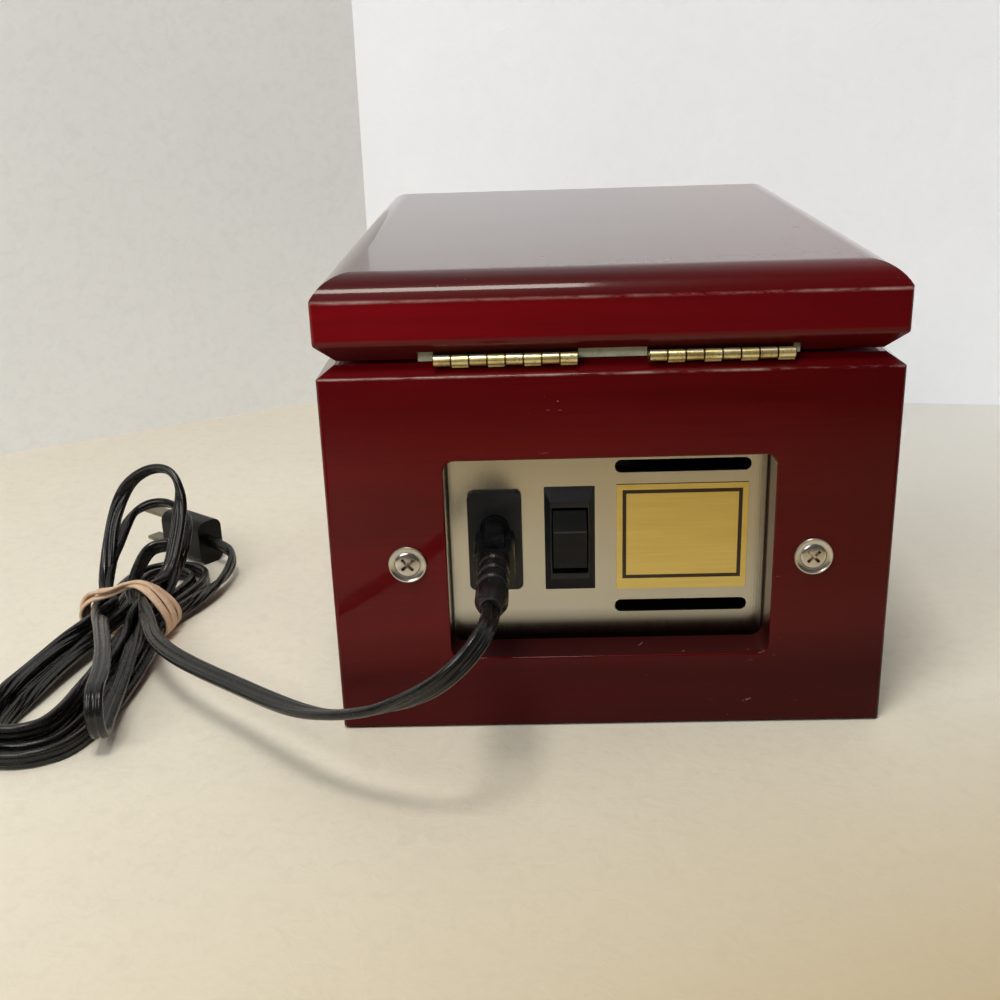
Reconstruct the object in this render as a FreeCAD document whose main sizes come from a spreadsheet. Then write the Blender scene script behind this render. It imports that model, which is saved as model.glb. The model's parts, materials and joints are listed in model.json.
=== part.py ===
"""Watch winder box: lacquered case, hinged lid, tilted winding cup, mains inlet and a tied cord.

Millimetres. +Z is up, the hinges and the mains inlet are at +Y.
The origin is under the middle of the box.
"""
import FreeCAD, Part
import math
import os
import re
import Sketcher
from FreeCAD import Placement, Rotation, Vector

# Driving sizes
SIZES = {
    # wooden base
    "base_wide": 169.0,
    "base_deep": 218.0,
    "base_high": 116.7,
    "wall": 12.7,
    "floor_thick": 6.0,
    "felt_thick": 0.8,
    "felt_inset": 3.0,
    "base_chamfer": 3.3,
    "base_chamfer_in": 5.0,
    "base_bevel_soft": 1.0,
    "corner_round": 1.5,
    "cut_over": 1.0,
    "round_flat": 0.01,
    # lid
    "seam_gap": 1.0,
    "lid_overhang": 0.25,
    "lid_high": 24.9,
    "lid_wall": 12.7,
    "lid_top_thick": 9.0,
    "lid_chamfer": 5.9,
    "lid_bevel_soft": 3.0,
    "lid_crown_round": 12.1,
    "lid_crown_over": 1.13,
    "lining_thick": 3.0,
    "lining_gap": 0.3,
    # hinges
    "hinge_long": 41.6,
    "hinge_left_mid": 29.6,
    "hinge_right_mid": 32.2,
    "hinge_knuckles": 8,
    "knuckle_gap": 0.3,
    "knuckle_radius": 1.6,
    "hinge_rise": 1.25,
    "hinge_setback": 1.7,
    "leaf_thick": 1.2,
    "leaf_proud": 0.3,
    "leaf_deep": 9.8,
    "hinge_pin_radius": 0.8,
    "notch_left_spare": 4.8,
    "notch_right_spare": 2.2,
    "notch_high": 2.3,
    "notch_deep": 7.0,
    "strip_thick": 1.2,
    "strip_gap": 0.2,
    "strip_low": 0.3,
    "hinge_screw_long": 8.0,
    "hinge_screw_radius": 1.0,
    "hinge_head_radius": 1.9,
    "hinge_screw_apart": 13.9,
    # rear window and chassis plate
    "window_margin": 35.5,
    "window_low": 23.5,
    "window_above": 28.8,
    "window_round": 3.5,
    "plate_gap": 1.3,
    "plate_lap": 8.8,
    "plate_thick": 1.2,
    "panel_rise": 2.2,
    "vent_over": 0.5,
    "vent_high": 4.0,
    "vent_apart": 46.5,
    "label_margin": 5.75,
    "label_gap": 6.55,
    "label_high": 34.8,
    "label_thick": 0.4,
    "rear_screw_gap": 12.0,
    "rear_screw_radius": 1.75,
    "rear_screw_long": 22.0,
    "washer_radius": 5.85,
    "washer_high": 2.3,
    "washer_edge": 0.5,
    "washer_lean": 0.7,
    "washer_rim": 0.75,
    "head_radius": 4.0,
    "head_crown": 0.5,
    "cross_wide": 1.0,
    "cross_reach": 2.1,
    "cross_deep": 1.6,
    "nut_radius": 4.0,
    "nut_high": 4.0,
    # mains inlet
    "inlet_margin": 14.4,
    "inlet_wide": 16.7,
    "inlet_high": 32.2,
    "inlet_flange": 2.0,
    "inlet_round": 2.0,
    "inlet_body_wide": 13.4,
    "inlet_body_high": 26.0,
    "inlet_body_deep": 15.0,
    "socket_wide": 8.8,
    "socket_high": 18.0,
    "socket_deep": 10.0,
    "pin_radius": 1.2,
    "pin_apart": 8.6,
    "pin_tail": 6.0,
    "pin_inset": 3.0,
    # rocker switch
    "switch_apart": 23.1,
    "switch_wide": 15.8,
    "switch_high": 34.5,
    "bezel_high": 2.2,
    "bezel_slope_side": 1.9,
    "bezel_slope_end": 4.6,
    "switch_body_wide": 13.2,
    "switch_body_high": 28.6,
    "switch_body_deep": 14.5,
    "rocker_wide": 10.4,
    "rocker_reach": 10.5,
    "rocker_gap": 0.35,
    "rocker_pivot_deep": 4.5,
    "well_deep": 7.4,
    "trunnion_radius": 1.2,
    "trunnion_long": 1.0,
    "terminal_apart": 14.0,
    "terminal_long": 7.0,
    "terminal_thick": 0.8,
    "terminal_wide": 4.8,
    "terminal_root": 3.0,
    # tilted deck, shelf and their cleats
    "deck_tilt": 45.0,
    "deck_thick": 6.0,
    "deck_hole_gap": 2.0,
    "shelf_drop": 4.0,
    "fit_gap": 0.3,
    "cleat_wide": 9.0,
    "cleat_high": 10.0,
    # winding cup, measured along its axis from the top of the deck
    "cup_forward": 25.0,
    "deck_margin": 3.3,
    "cup_radius": 37.0,
    "cup_wall": 2.5,
    "cup_floor": 3.0,
    "cup_proud": 1.0,
    "cup_bevel": 2.0,
    "rim_bevel": 0.8,
    "hub_radius": 9.0,
    "hub_long": 8.0,
    "shaft_radius": 3.5,
    "run_clear": 0.05,
    "insert_drop": 3.0,
    "insert_gap": 0.2,
    "pocket_wide": 42.0,
    "pocket_tall": 50.0,
    "pocket_round": 12.0,
    "cushion_gap": 0.4,
    "cushion_proud": 20.0,
    "cushion_tuck": 1.6,
    # motor and bracket
    "hub_end_gap": 1.5,
    "bush_flange": 1.5,
    "bush_radius": 6.0,
    "bush_flange_radius": 8.0,
    "bracket_thick": 2.0,
    "bracket_wide": 66.0,
    "bracket_above": 30.0,
    "bracket_foot": 22.0,
    "gearbox_radius": 25.0,
    "gearbox_long": 10.0,
    "motor_radius": 24.0,
    "motor_long": 14.0,
    "motor_floor_gap": 3.0,
    "motor_bevel": 1.5,
    "shaft_end_wall": 2.0,
    "ear_wide": 64.0,
    "ear_tall": 11.0,
    "ear_thick": 1.5,
    "motor_screw_apart": 56.0,
    "motor_screw_radius": 1.5,
    "motor_screw_head": 2.8,
    "screw_head_high": 2.0,
    "motor_screw_tail": 3.0,
    "foot_screw_apart": 44.0,
    "foot_screw_inset": 8.0,
    "pilot_rise": 0.8,
    "wire_radius": 1.0,
    "wire_lead": 9.0,
    "wire_entry_apart": 12.0,
    "wire_entry_up": 10.8,
    # cord, connector and plug
    "cord_round": 4.4,
    "nose_gap": 0.25,
    "nose_deep": 8.0,
    "grip_wide": 12.2,
    "grip_below": 7.5,
    "grip_above": 4.0,
    "grip_long": 17.0,
    "grip_rib_wide": 6.0,
    "grip_rib_high": 3.0,
    "grip_round": 2.0,
    "rib_round": 1.2,
    "rib_short": 2.0,
    "relief_long": 31.4,
    "relief_radius": 4.7,
    "relief_neck": 3.9,
    "relief_tip": 3.2,
    "relief_rings": 3,
    "relief_first": 3.1,
    "relief_pitch": 6.9,
    "relief_groove": 2.2,
    "relief_bevel": 1.0,
    "relief_taper": 5.0,
    "plug_wide": 12.0,
    "plug_high": 19.0,
    "plug_long": 25.0,
    "plug_round": 4.0,
    "blade_wide": 6.3,
    "blade_thick": 1.5,
    "blade_long": 16.0,
    "blade_apart": 12.7,
    "blade_root": 5.0,
    # hank and its rubber band
    "hank_side": 174.5,
    "hank_back": 36.0,
    "hank_turn": 8.0,
    "strand_pitch": 4.95,
    "layer_pitch": 4.95,
    "waist_lift": 4.8,
    "lobe_lift": 2.5,
    "lower_reach": 72.0,
    "upper_reach": 38.0,
    "lower_lobe": 11.0,
    "lower_lobe_step": 5.6,
    "upper_lobe": 8.0,
    "upper_lobe_step": 5.5,
    "band_radius": 0.9,
    "band_gap": 0.4,
    "band_turns": 3,
    "band_pitch": 2.5,
}

# Places worked out from the sizes
PLACES = {
    "side": "base_wide / 2",
    "back": "base_deep / 2",
    "inner_side": "side - wall",
    "inner_back": "back - wall",
    "floor_top": "felt_thick + floor_thick",
    "base_top": "felt_thick + base_high",
    "lid_low": "base_top + seam_gap",
    "lid_high_top": "lid_low + lid_high",
    "lid_side": "side + lid_overhang",
    "lid_back": "back + lid_overhang",
    "cavity_side": "lid_side - lid_wall",
    "cavity_back": "lid_back - lid_wall",
    "cavity_top": "lid_high_top - lid_top_thick",
    "hinge_y": "back - hinge_setback",
    "hinge_z": "base_top + hinge_rise",
    "leaf_back": "hinge_y - leaf_deep",
    "leaf_front": "hinge_y - knuckle_radius - knuckle_gap",
    "base_leaf_top": "base_top + leaf_proud",
    "base_leaf_low": "base_leaf_top - leaf_thick",
    "lid_leaf_low": "lid_low - leaf_proud",
    "lid_leaf_top": "lid_leaf_low + leaf_thick",
    "notch_left": "hinge_left_mid + hinge_long / 2 + notch_left_spare",
    "notch_right": "hinge_right_mid + hinge_long / 2 + notch_right_spare",
    "notch_back": "lid_back - notch_deep",
    "notch_top": "hinge_z + notch_high",
    "window_half": "side - window_margin",
    "window_high": "base_high - window_low - window_above",
    "window_z": "felt_thick + window_low + window_high / 2",
    "rear_screw_side": "window_half + rear_screw_gap",
    "panel_z": "window_z + panel_rise",
    "inlet_side": "window_half - inlet_margin",
    "switch_side": "inlet_side - switch_apart",
    "label_low": "label_margin - window_half",
    "label_end": "switch_side - switch_wide / 2 - label_gap",
    "plate_in": "inner_back - plate_thick",
    "inlet_face": "inner_back + inlet_flange",
    "switch_face": "inner_back + bezel_high",
    "pivot_y": "switch_face - rocker_pivot_deep",
    "shelf_top": "base_top - shelf_drop",
    "cup_y": "-cup_forward",
    "deck_top_run": "cup_radius + deck_hole_gap + deck_margin",
    "cup_z": "shelf_top - deck_top_run * sin(deck_tilt)",
    "shelf_front": "cup_y + deck_top_run * cos(deck_tilt)",
    "motor_drop": "floor_top + motor_floor_gap - cup_z + motor_radius * sin(deck_tilt)",
    "motor_back": "motor_drop / cos(deck_tilt)",
    "gearbox_back": "motor_back + motor_long",
    "bracket_back": "gearbox_back + gearbox_long",
    "bracket_front": "bracket_back + bracket_thick",
    "hub_end": "bracket_front + bush_flange + hub_end_gap",
    "cup_low": "hub_end + hub_long",
    "insert_low": "cup_low + cup_floor",
    "bracket_up": "(floor_top - cup_z - bracket_back * cos(deck_tilt)) / sin(deck_tilt)",
    "bracket_heel": "cup_y + bracket_up * cos(deck_tilt) - bracket_back * sin(deck_tilt)",
    "bracket_toe": "bracket_heel - bracket_foot",
    "foot_screw_y": "bracket_toe + foot_screw_inset",
    "grip_end": "inlet_face + fit_gap + grip_long",
    "pin_end": "plate_in - inlet_body_deep - pin_tail",
    "terminal_end": "plate_in - switch_body_deep - terminal_long",
    "waist_side": "2.5 * strand_pitch",
}

# The free stretch of the cord, from the strain relief to the hank's waist
CORD_ROUTE = (
    (34.6, 147.0, 58.7), (34.6, 154.0, 58.7), (37.3, 161.1, 56.2), (42.1, 165.2, 51.6),
    (49.2, 165.6, 45.4), (59.0, 162.0, 38.8), (70.4, 156.6, 32.9), (81.0, 150.0, 28.4),
    (91.2, 141.4, 25.2), (102.4, 130.2, 22.8), (115.6, 117.0, 20.9), (129.4, 104.2, 19.5),
    (142.4, 91.0, 18.3), (153.0, 76.0, 16.9), (159.6, 60.5, 15.6),
)

doc = FreeCAD.newDocument("watch_winder_box")
sheet = doc.addObject("Spreadsheet::Sheet", "sizes")
for row, (alias, number) in enumerate(SIZES.items(), 1):
    sheet.set(f"A{row}", alias)
    sheet.set(f"B{row}", str(number))
    sheet.setAlias(f"B{row}", alias)
places = doc.addObject("App::VarSet", "places")
nodes = {}


def full(text):
    """Write a formula's plain names as references to the sheet and to the places."""
    def reference(match):
        word = match.group(0)
        if word in SIZES:
            return f"sizes.{word}"
        return f"places.{word}" if word in PLACES else word
    return re.sub(r"[A-Za-z_]\w*", reference, str(text))


def bind(thing, prop, text):
    thing.setExpression(prop, full(text))


for place_name, formula in PLACES.items():
    places.addProperty("App::PropertyFloat", place_name, "Places")
for place_name, formula in PLACES.items():
    bind(places, place_name, formula)
doc.recompute()


def get(alias):
    """The number that a size or a place holds."""
    return float(sheet.get(alias)) if alias in SIZES else float(getattr(places, alias))


def node(label, thing):
    """Name a finished sub-part, which is written to its own file."""
    thing.Label = label
    nodes[label] = thing
    return thing


# Plain solids
TURN_TO = {
    "X": Rotation(Vector(0, 1, 0), 90),
    "Y": Rotation(Vector(1, 0, 0), -90),
    "Z": Rotation(),
}


def locate(thing, x, y, z, rotation=None):
    thing.Placement = Placement(Vector(), rotation or Rotation())
    for axis, text in zip("xyz", (x, y, z)):
        bind(thing, f"Placement.Base.{axis}", text)
    return thing


def tilt(thing, x, y, z):
    """Put a solid at a point of the deck's own frame: x across, y up the slope, z out of the deck."""
    thing.Placement = Placement(Vector(), Rotation(Vector(1, 0, 0), 45))
    bind(thing, "Placement.Rotation.Angle", "deck_tilt")
    bind(thing, "Placement.Base.x", x)
    bind(thing, "Placement.Base.y", f"cup_y + ({y}) * cos(deck_tilt) - ({z}) * sin(deck_tilt)")
    bind(thing, "Placement.Base.z", f"cup_z + ({y}) * sin(deck_tilt) + ({z}) * cos(deck_tilt)")
    return thing


def block(name, x, y, z):
    """A block between a low and a high limit on each axis."""
    solid = doc.addObject("Part::Box", name)
    for prop, (low, high) in zip(("Length", "Width", "Height"), (x, y, z)):
        bind(solid, prop, f"({high}) - ({low})")
    return locate(solid, x[0], y[0], z[0])


def tilted_block(name, x, y, z):
    return tilt(block(name, x, y, z), x[0], y[0], z[0])


def rod(name, radius, length, x, y, z, axis="Z"):
    solid = doc.addObject("Part::Cylinder", name)
    bind(solid, "Radius", radius)
    bind(solid, "Height", length)
    return locate(solid, x, y, z, TURN_TO[axis])


def tilted_rod(name, radius, low, high, x="0", y="0"):
    return tilt(rod(name, radius, f"({high}) - ({low})", "0", "0", "0"), x, y, low)


def taper(name, low_radius, high_radius, length, x, y, z, rotation=None):
    solid = doc.addObject("Part::Cone", name)
    bind(solid, "Radius1", low_radius)
    bind(solid, "Radius2", high_radius)
    bind(solid, "Height", length)
    return locate(solid, x, y, z, rotation)


def fuse(name, *solids):
    whole = doc.addObject("Part::MultiFuse", name)
    whole.Shapes = list(solids)
    return whole


def common(name, *solids):
    whole = doc.addObject("Part::MultiCommon", name)
    whole.Shapes = list(solids)
    return whole


def cut(name, solid, *tools):
    whole = doc.addObject("Part::Cut", name)
    whole.Base = solid
    whole.Tool = tools[0] if len(tools) == 1 else fuse(f"{name}_tools", *tools)
    return whole


def group(name, *solids):
    whole = doc.addObject("Part::Compound", name)
    whole.Links = list(solids)
    return whole


def mirrored(name, solid):
    twin = doc.addObject("Part::Mirroring", name)
    twin.Source = solid
    twin.Normal = Vector(1, 0, 0)
    return twin


# Bodies drawn from a sketch
def outline(body, name, plane, points):
    """A closed sketch of straight lines, each corner tied to its formulas."""
    sketch = body.newObject("Sketcher::SketchObject", name)
    origin_plane = next(item for item in body.Origin.OriginFeatures if item.Role == plane)
    sketch.AttachmentSupport = [(origin_plane, "")]
    sketch.MapMode = "FlatFace"
    count = len(points)
    angles = [math.tau * k / count for k in range(count)]
    ring = [Vector(10 * math.cos(angle), 10 * math.sin(angle), 0) for angle in angles]
    for k in range(count):
        sketch.addGeometry(Part.LineSegment(ring[k], ring[(k + 1) % count]), False)
    for k in range(count):
        sketch.addConstraint(Sketcher.Constraint("Coincident", k, 2, (k + 1) % count, 1))
    for k, corner in enumerate(points):
        for kind, text, start in zip(("DistanceX", "DistanceY"), corner, (ring[k].x, ring[k].y)):
            number = sketch.addConstraint(Sketcher.Constraint(kind, -1, 1, k, 1, start))
            bind(sketch, f"Constraints[{number}]", text)
    return sketch


def prism(name, plane, points, length, middle=False):
    body = doc.addObject("PartDesign::Body", name)
    pad = body.newObject("PartDesign::Pad", f"{name}_pad")
    pad.Profile = outline(body, f"{name}_outline", plane, points)
    pad.Midplane = middle
    bind(pad, "Length", length)
    body.Tip = pad
    return body


def turned(name, points):
    """A body of revolution about Z, from corners given as radius and height."""
    body = doc.addObject("PartDesign::Body", name)
    sketch = outline(body, f"{name}_outline", "XZ_Plane", points)
    turn = body.newObject("PartDesign::Revolution", f"{name}_turn")
    turn.Profile = sketch
    turn.ReferenceAxis = (sketch, ["V_Axis"])
    turn.Angle = 360
    body.Tip = turn
    return body


def dress(body, kind, prop, text, wanted):
    """Fillet or chamfer those edges of a body that a test picks out."""
    doc.recompute()
    base = body.Tip
    names = [f"Edge{k}" for k, edge in enumerate(base.Shape.Edges, 1) if wanted(edge.BoundBox)]
    feature = body.newObject(f"PartDesign::{kind}", f"{body.Name}_{kind}_{len(body.Group)}")
    feature.Base = (base, names)
    bind(feature, prop, text)
    body.Tip = feature
    return body


def slab(name, x, y, z, axis="Z"):
    """A block as a body, so that its edges can be dressed."""
    if axis == "Z":
        corners = [(x[i], y[j]) for i, j in ((0, 0), (1, 0), (1, 1), (0, 1))]
        body = prism(name, "XY_Plane", corners, f"({z[1]}) - ({z[0]})")
        return locate(body, "0", "0", z[0])
    corners = [(x[i], z[j]) for i, j in ((0, 0), (1, 0), (1, 1), (0, 1))]
    body = prism(name, "XZ_Plane", corners, f"({y[1]}) - ({y[0]})")
    return locate(body, "0", y[1], "0")


def rounded_slab(name, x, y, z, round_text, axis="Z"):
    """A block whose edges along one axis are rounded."""
    body = slab(name, x, y, z, axis)
    across = ("XLength", "YLength") if axis == "Z" else ("XLength", "ZLength")
    return dress(body, "Fillet", "Radius", round_text,
                 lambda box: all(getattr(box, span) < 1e-6 for span in across))


def level(height):
    """A test for the edges that lie at one height of a body."""
    return lambda box: abs(box.ZMin - height) < 1e-6 and abs(box.ZMax - height) < 1e-6


def both(text):
    """Limits that lie alike on both sides of the middle."""
    return f"-({text})", text


def around(middle, width):
    """Limits that lie alike on both sides of a place."""
    return f"{middle} - ({width}) / 2", f"{middle} + ({width}) / 2"


def frustum(wedge, low_x, low_z, high_x, high_z, length):
    """Set a wedge's limits across at its near and far ends, and its length along Y."""
    names = ("Xmin", "Xmax", "Zmin", "Zmax", "X2min", "X2max", "Z2min", "Z2max", "Ymin", "Ymax")
    for prop, text in zip(names, (*low_x, *low_z, *high_x, *high_z, "0", length)):
        bind(wedge, prop, text)


# Wooden base
def make_base():
    x, y, z = both("side"), both("back"), ("felt_thick", "base_top")
    bevelled = slab("base_bevelled", x, y, z)
    dress(bevelled, "Chamfer", "Size", "base_chamfer", level(get("base_high")))
    bevelled.Tip.ChamferType = "Two distances"
    bind(bevelled.Tip, "Size2", "base_chamfer_in")
    dress(bevelled, "Fillet", "Radius", "base_bevel_soft", level(get("base_high") - get("base_chamfer")))
    rounded = rounded_slab("base_rounded", x, y, z, "corner_round")
    whole = common("base_whole", bevelled, rounded)
    side, back, inner_side, inner_back = both("side"), both("back"), both("inner_side"), both("inner_back")
    walls = {
        "front": ((0, 0), (1, 0)),
        "left": ((1, 0), (1, 1)),
        "back": ((1, 1), (0, 1)),
        "right": ((0, 1), (0, 0)),
    }
    for name, ends in walls.items():
        outer = [(side[i], back[j]) for i, j in ends]
        inner = [(inner_side[i], inner_back[j]) for i, j in reversed(ends)]
        blank = prism(f"{name}_blank", "XY_Plane", outer + inner, "base_high")
        locate(blank, "0", "0", "felt_thick")
        wall = common(f"{name}_wall_solid", whole, blank)
        if name == "back":
            wall = cut("back_wall_cut", wall, *back_wall_tools())
        node(f"base_{name}_wall", wall)
    board = block("floor_solid", inner_side, inner_back, ("felt_thick", "floor_top"))
    pilots = [rod(f"pilot_{sign + 1}", "motor_screw_radius + run_clear", "floor_thick",
                  f"{sign} * foot_screw_apart / 2", "foot_screw_y", "felt_thick + pilot_rise")
              for sign in (1, -1)]
    node("base_floor_panel", cut("floor_cut", board, *pilots))
    node("base_felt_pad", rounded_slab("felt_solid", both("side - felt_inset"), both("back - felt_inset"),
                                       ("0", "felt_thick"), "corner_round"))


def back_wall_tools():
    """The rear window, the two screw holes, the hinge seats and the hinge screw holes."""
    through = ("inner_back - cut_over", "back + cut_over")
    window_z = ("window_z - window_high / 2", "window_z + window_high / 2")
    yield rounded_slab("window_tool", both("window_half"), through, window_z, "window_round", "Y")
    for sign, name in ((-1, "right"), (1, "left")):
        yield rod(f"rear_hole_{name}", "rear_screw_radius + run_clear", "wall + 2 * cut_over",
                  f"{sign} * rear_screw_side", through[0], "window_z", "Y")
        half = "(hinge_long / 2 + run_clear)"
        yield block(f"base_seat_{name}", (f"{hinge_x(sign)} - {half}", f"{hinge_x(sign)} + {half}"),
                    ("leaf_back - run_clear", through[1]), ("base_leaf_low", "base_top + cut_over"))
        yield from hinge_screws(f"base_screw_hole_{name}", sign, "base", "run_clear")


# Lid
def make_lid():
    x, y, z = both("lid_side"), both("lid_back"), ("lid_low", "lid_high_top")
    shaped = slab("lid_shaped", x, y, z)
    dress(shaped, "Chamfer", "Size", "lid_chamfer", level(0))
    dress(shaped, "Fillet", "Radius", "lid_bevel_soft", level(get("lid_chamfer")))
    rounded = rounded_slab("lid_rounded", x, y, z, "corner_round")
    crown = slab("lid_crown", both("lid_side + lid_crown_over"), both("lid_back + lid_crown_over"), z)
    dress(crown, "Fillet", "Radius", "lid_crown_round", level(get("lid_high")))
    whole = common("lid_whole", common("lid_block", shaped, rounded), crown)
    node("lid_shell", cut("lid_cut", whole, *lid_tools()))
    lining = rounded_slab("lining_solid", both("cavity_side - lining_gap"), both("cavity_back - lining_gap"),
                          ("cavity_top - lining_thick", "cavity_top"), "corner_round")
    node("lid_lining", lining)
    strips = []
    reach = "(hinge_long / 2 + strip_gap)"
    spans = (("middle", f"{reach} - hinge_right_mid", f"hinge_left_mid - {reach}"),
             ("left", f"hinge_left_mid + {reach}", "notch_left - strip_gap"),
             ("right", "strip_gap - notch_right", f"-hinge_right_mid - {reach}"))
    for name, low, high in spans:
        strips.append(block(f"strip_{name}", (low, high), ("notch_back", "notch_back + strip_thick"),
                            ("base_top + strip_low", "notch_top")))
    node("hinge_gap_strip", group("strip_group", *strips))


def lid_tools():
    """The hollow under the lid, the notch for the hinges, the leaf seats and the screw holes."""
    under = "lid_low - cut_over"
    yield slab("cavity_tool", both("cavity_side"), both("cavity_back"), (under, "cavity_top"))
    yield block("notch_tool", ("-notch_right", "notch_left"), ("notch_back", "lid_back + cut_over"),
                (under, "notch_top"))
    for sign, name in ((-1, "right"), (1, "left")):
        half = "(hinge_long / 2 + run_clear)"
        yield block(f"lid_seat_{name}", (f"{hinge_x(sign)} - {half}", f"{hinge_x(sign)} + {half}"),
                    ("leaf_back - run_clear", "notch_back + cut_over"), (under, "lid_leaf_top"))
        yield from hinge_screws(f"lid_screw_hole_{name}", sign, "lid", "run_clear")


# Hinges
def hinge_x(sign):
    """The middle of the left or the right hinge along X."""
    return "hinge_left_mid" if sign > 0 else "-hinge_right_mid"


def hinge_screws(name, sign, leaf, extra="0"):
    """Three countersunk screws of one leaf, or with extra room the holes for them."""
    up = leaf == "lid"
    seat = "lid_leaf_low" if up else "base_leaf_top"
    aim = Rotation() if up else Rotation(Vector(1, 0, 0), 180)
    screw_y = "(leaf_back + min(leaf_front, notch_back)) / 2"
    for k in (-1, 0, 1):
        x = f"{hinge_x(sign)} + {k} * hinge_screw_apart"
        head = taper(f"{name}_head_{k + 1}", f"hinge_head_radius + {extra}",
                     f"hinge_screw_radius + {extra}", "leaf_thick", x, screw_y, seat, aim)
        shank = doc.addObject("Part::Cylinder", f"{name}_shank_{k + 1}")
        bind(shank, "Radius", f"hinge_screw_radius + {extra}")
        bind(shank, "Height", f"hinge_screw_long + {extra}")
        locate(shank, x, screw_y, seat, aim)
        yield fuse(f"{name}_{k + 1}", head, shank)


def hinge_leaf(side, sign, leaf):
    name = f"hinge_{side}_{leaf}"
    low, high = f"{leaf}_leaf_low", f"{leaf}_leaf_top"
    half = "hinge_long / 2"
    pieces = [block(f"{name}_plate", (f"{hinge_x(sign)} - {half}", f"{hinge_x(sign)} + {half}"),
                    ("leaf_back", "leaf_front"), (low, high))]
    pitch = "hinge_long / hinge_knuckles"
    first = 0 if leaf == "base" else 1
    for k in range(first, int(SIZES["hinge_knuckles"]), 2):
        start = f"{hinge_x(sign)} - {half} + {k} * {pitch} + run_clear"
        stop = f"{hinge_x(sign)} - {half} + {k + 1} * {pitch} - run_clear"
        pieces.append(block(f"{name}_neck_{k}", (start, stop), ("leaf_front", "hinge_y"), (low, high)))
        pieces.append(rod(f"{name}_knuckle_{k}", "knuckle_radius", f"({stop}) - ({start})",
                          start, "hinge_y", "hinge_z", "X"))
    bore = rod(f"{name}_bore", "hinge_pin_radius + run_clear", "hinge_long + 2 * cut_over",
               f"{hinge_x(sign)} - {half} - cut_over", "hinge_y", "hinge_z", "X")
    holes = list(hinge_screws(f"{name}_hole", sign, leaf, "run_clear"))
    return node(f"{name}_leaf", cut(f"{name}_cut", fuse(f"{name}_plain", *pieces), bore, *holes))


def make_hinges():
    screws = {"base": [], "lid": []}
    for sign, side in ((1, "left"), (-1, "right")):
        for leaf in ("base", "lid"):
            hinge_leaf(side, sign, leaf)
            screws[leaf].extend(hinge_screws(f"hinge_{side}_{leaf}_screw", sign, leaf))
        node(f"hinge_{side}_pin", rod(f"pin_{side}", "hinge_pin_radius", "hinge_long",
                                      f"{hinge_x(sign)} - hinge_long / 2", "hinge_y", "hinge_z", "X"))
    for leaf, solids in screws.items():
        node(f"hinge_{leaf}_screws", group(f"{leaf}_screw_group", *solids))


# Steel plate in the rear window, with its screws and cup washers
def make_chassis():
    plate = slab("plate_solid", both("inner_side - plate_gap"), ("plate_in", "inner_back"),
                 around("window_z", "window_high + 2 * plate_lap"), "Y")
    through = ("plate_in - cut_over", "inner_back + cut_over")
    tools = [
        slab("inlet_opening", around("inlet_side", "inlet_body_wide + 2 * run_clear"), through,
             around("panel_z", "inlet_body_high + 2 * run_clear"), "Y"),
        slab("switch_opening", around("switch_side", "switch_body_wide + 2 * run_clear"), through,
             around("panel_z", "switch_body_high + 2 * run_clear"), "Y"),
    ]
    for sign, name in ((1, "upper"), (-1, "lower")):
        tools.append(rounded_slab(f"{name}_vent", ("label_low - vent_over", "label_end + vent_over"), through,
                                  around(f"panel_z + {sign} * vent_apart / 2", "vent_high"),
                                  "vent_high / 2 - round_flat", "Y"))
    for sign, name in ((-1, "right"), (1, "left")):
        tools.append(rod(f"plate_hole_{name}", "rear_screw_radius + run_clear", "plate_thick + 2 * cut_over",
                         f"{sign} * rear_screw_side", through[0], "window_z", "Y"))
    node("chassis_plate", cut("plate_cut", plate, *tools))
    label = slab("label_solid", ("label_low", "label_end"), ("inner_back", "inner_back + label_thick"),
                 around("panel_z", "label_high"), "Y")
    node("label_plate", label)
    rear_fasteners()


def rear_fasteners():
    """Countersunk cross-head screws in cup washers, with round nuts behind the plate."""
    seat_low = "washer_high - (head_radius - rear_screw_radius)"
    washer = turned("washer_left", (
        ("washer_radius", "0"), ("washer_radius", "washer_edge"),
        ("washer_radius - washer_lean", "washer_high - washer_edge"),
        ("head_radius + washer_rim", "washer_high"), ("head_radius + run_clear", "washer_high"),
        ("rear_screw_radius + run_clear", seat_low), ("rear_screw_radius + run_clear", "0")))
    screw = turned("screw_left", (
        ("0", "washer_high + head_crown"), ("head_radius / 2", "washer_high + head_crown * 0.75"),
        ("head_radius", "washer_high"), ("rear_screw_radius", seat_low),
        ("rear_screw_radius", f"{seat_low} - rear_screw_long"), ("0", f"{seat_low} - rear_screw_long")))
    for thing in (washer, screw):
        locate(thing, "rear_screw_side", "back", "window_z", TURN_TO["Y"])
    slots = []
    for turn in (45, -45):
        slot = doc.addObject("Part::Wedge", f"cross_slot_{turn % 360}")
        frustum(slot, both("cross_wide / 3"), both("cross_reach / 3"), both("cross_wide / 2"),
                both("cross_reach"), "cross_deep + head_crown + cut_over")
        locate(slot, "rear_screw_side", "back + washer_high - cross_deep", "window_z",
               Rotation(Vector(0, 1, 0), turn))
        slots.append(slot)
    screw_cut = cut("screw_left_cut", screw, *slots)
    node("finishing_washers", group("washer_group", washer, mirrored("washer_right", washer)))
    node("rear_screws", group("rear_screw_group", screw_cut, mirrored("screw_right", screw_cut)))
    nut_y = "plate_in - nut_high"
    nut = cut("nut_left",
              rod("nut_blank", "nut_radius", "nut_high", "rear_screw_side", nut_y, "window_z", "Y"),
              rod("nut_bore", "rear_screw_radius + run_clear", "nut_high + 2 * cut_over", "rear_screw_side",
                  f"{nut_y} - cut_over", "window_z", "Y"))
    node("chassis_nuts", group("nut_group", nut, mirrored("nut_right", nut)))


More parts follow.
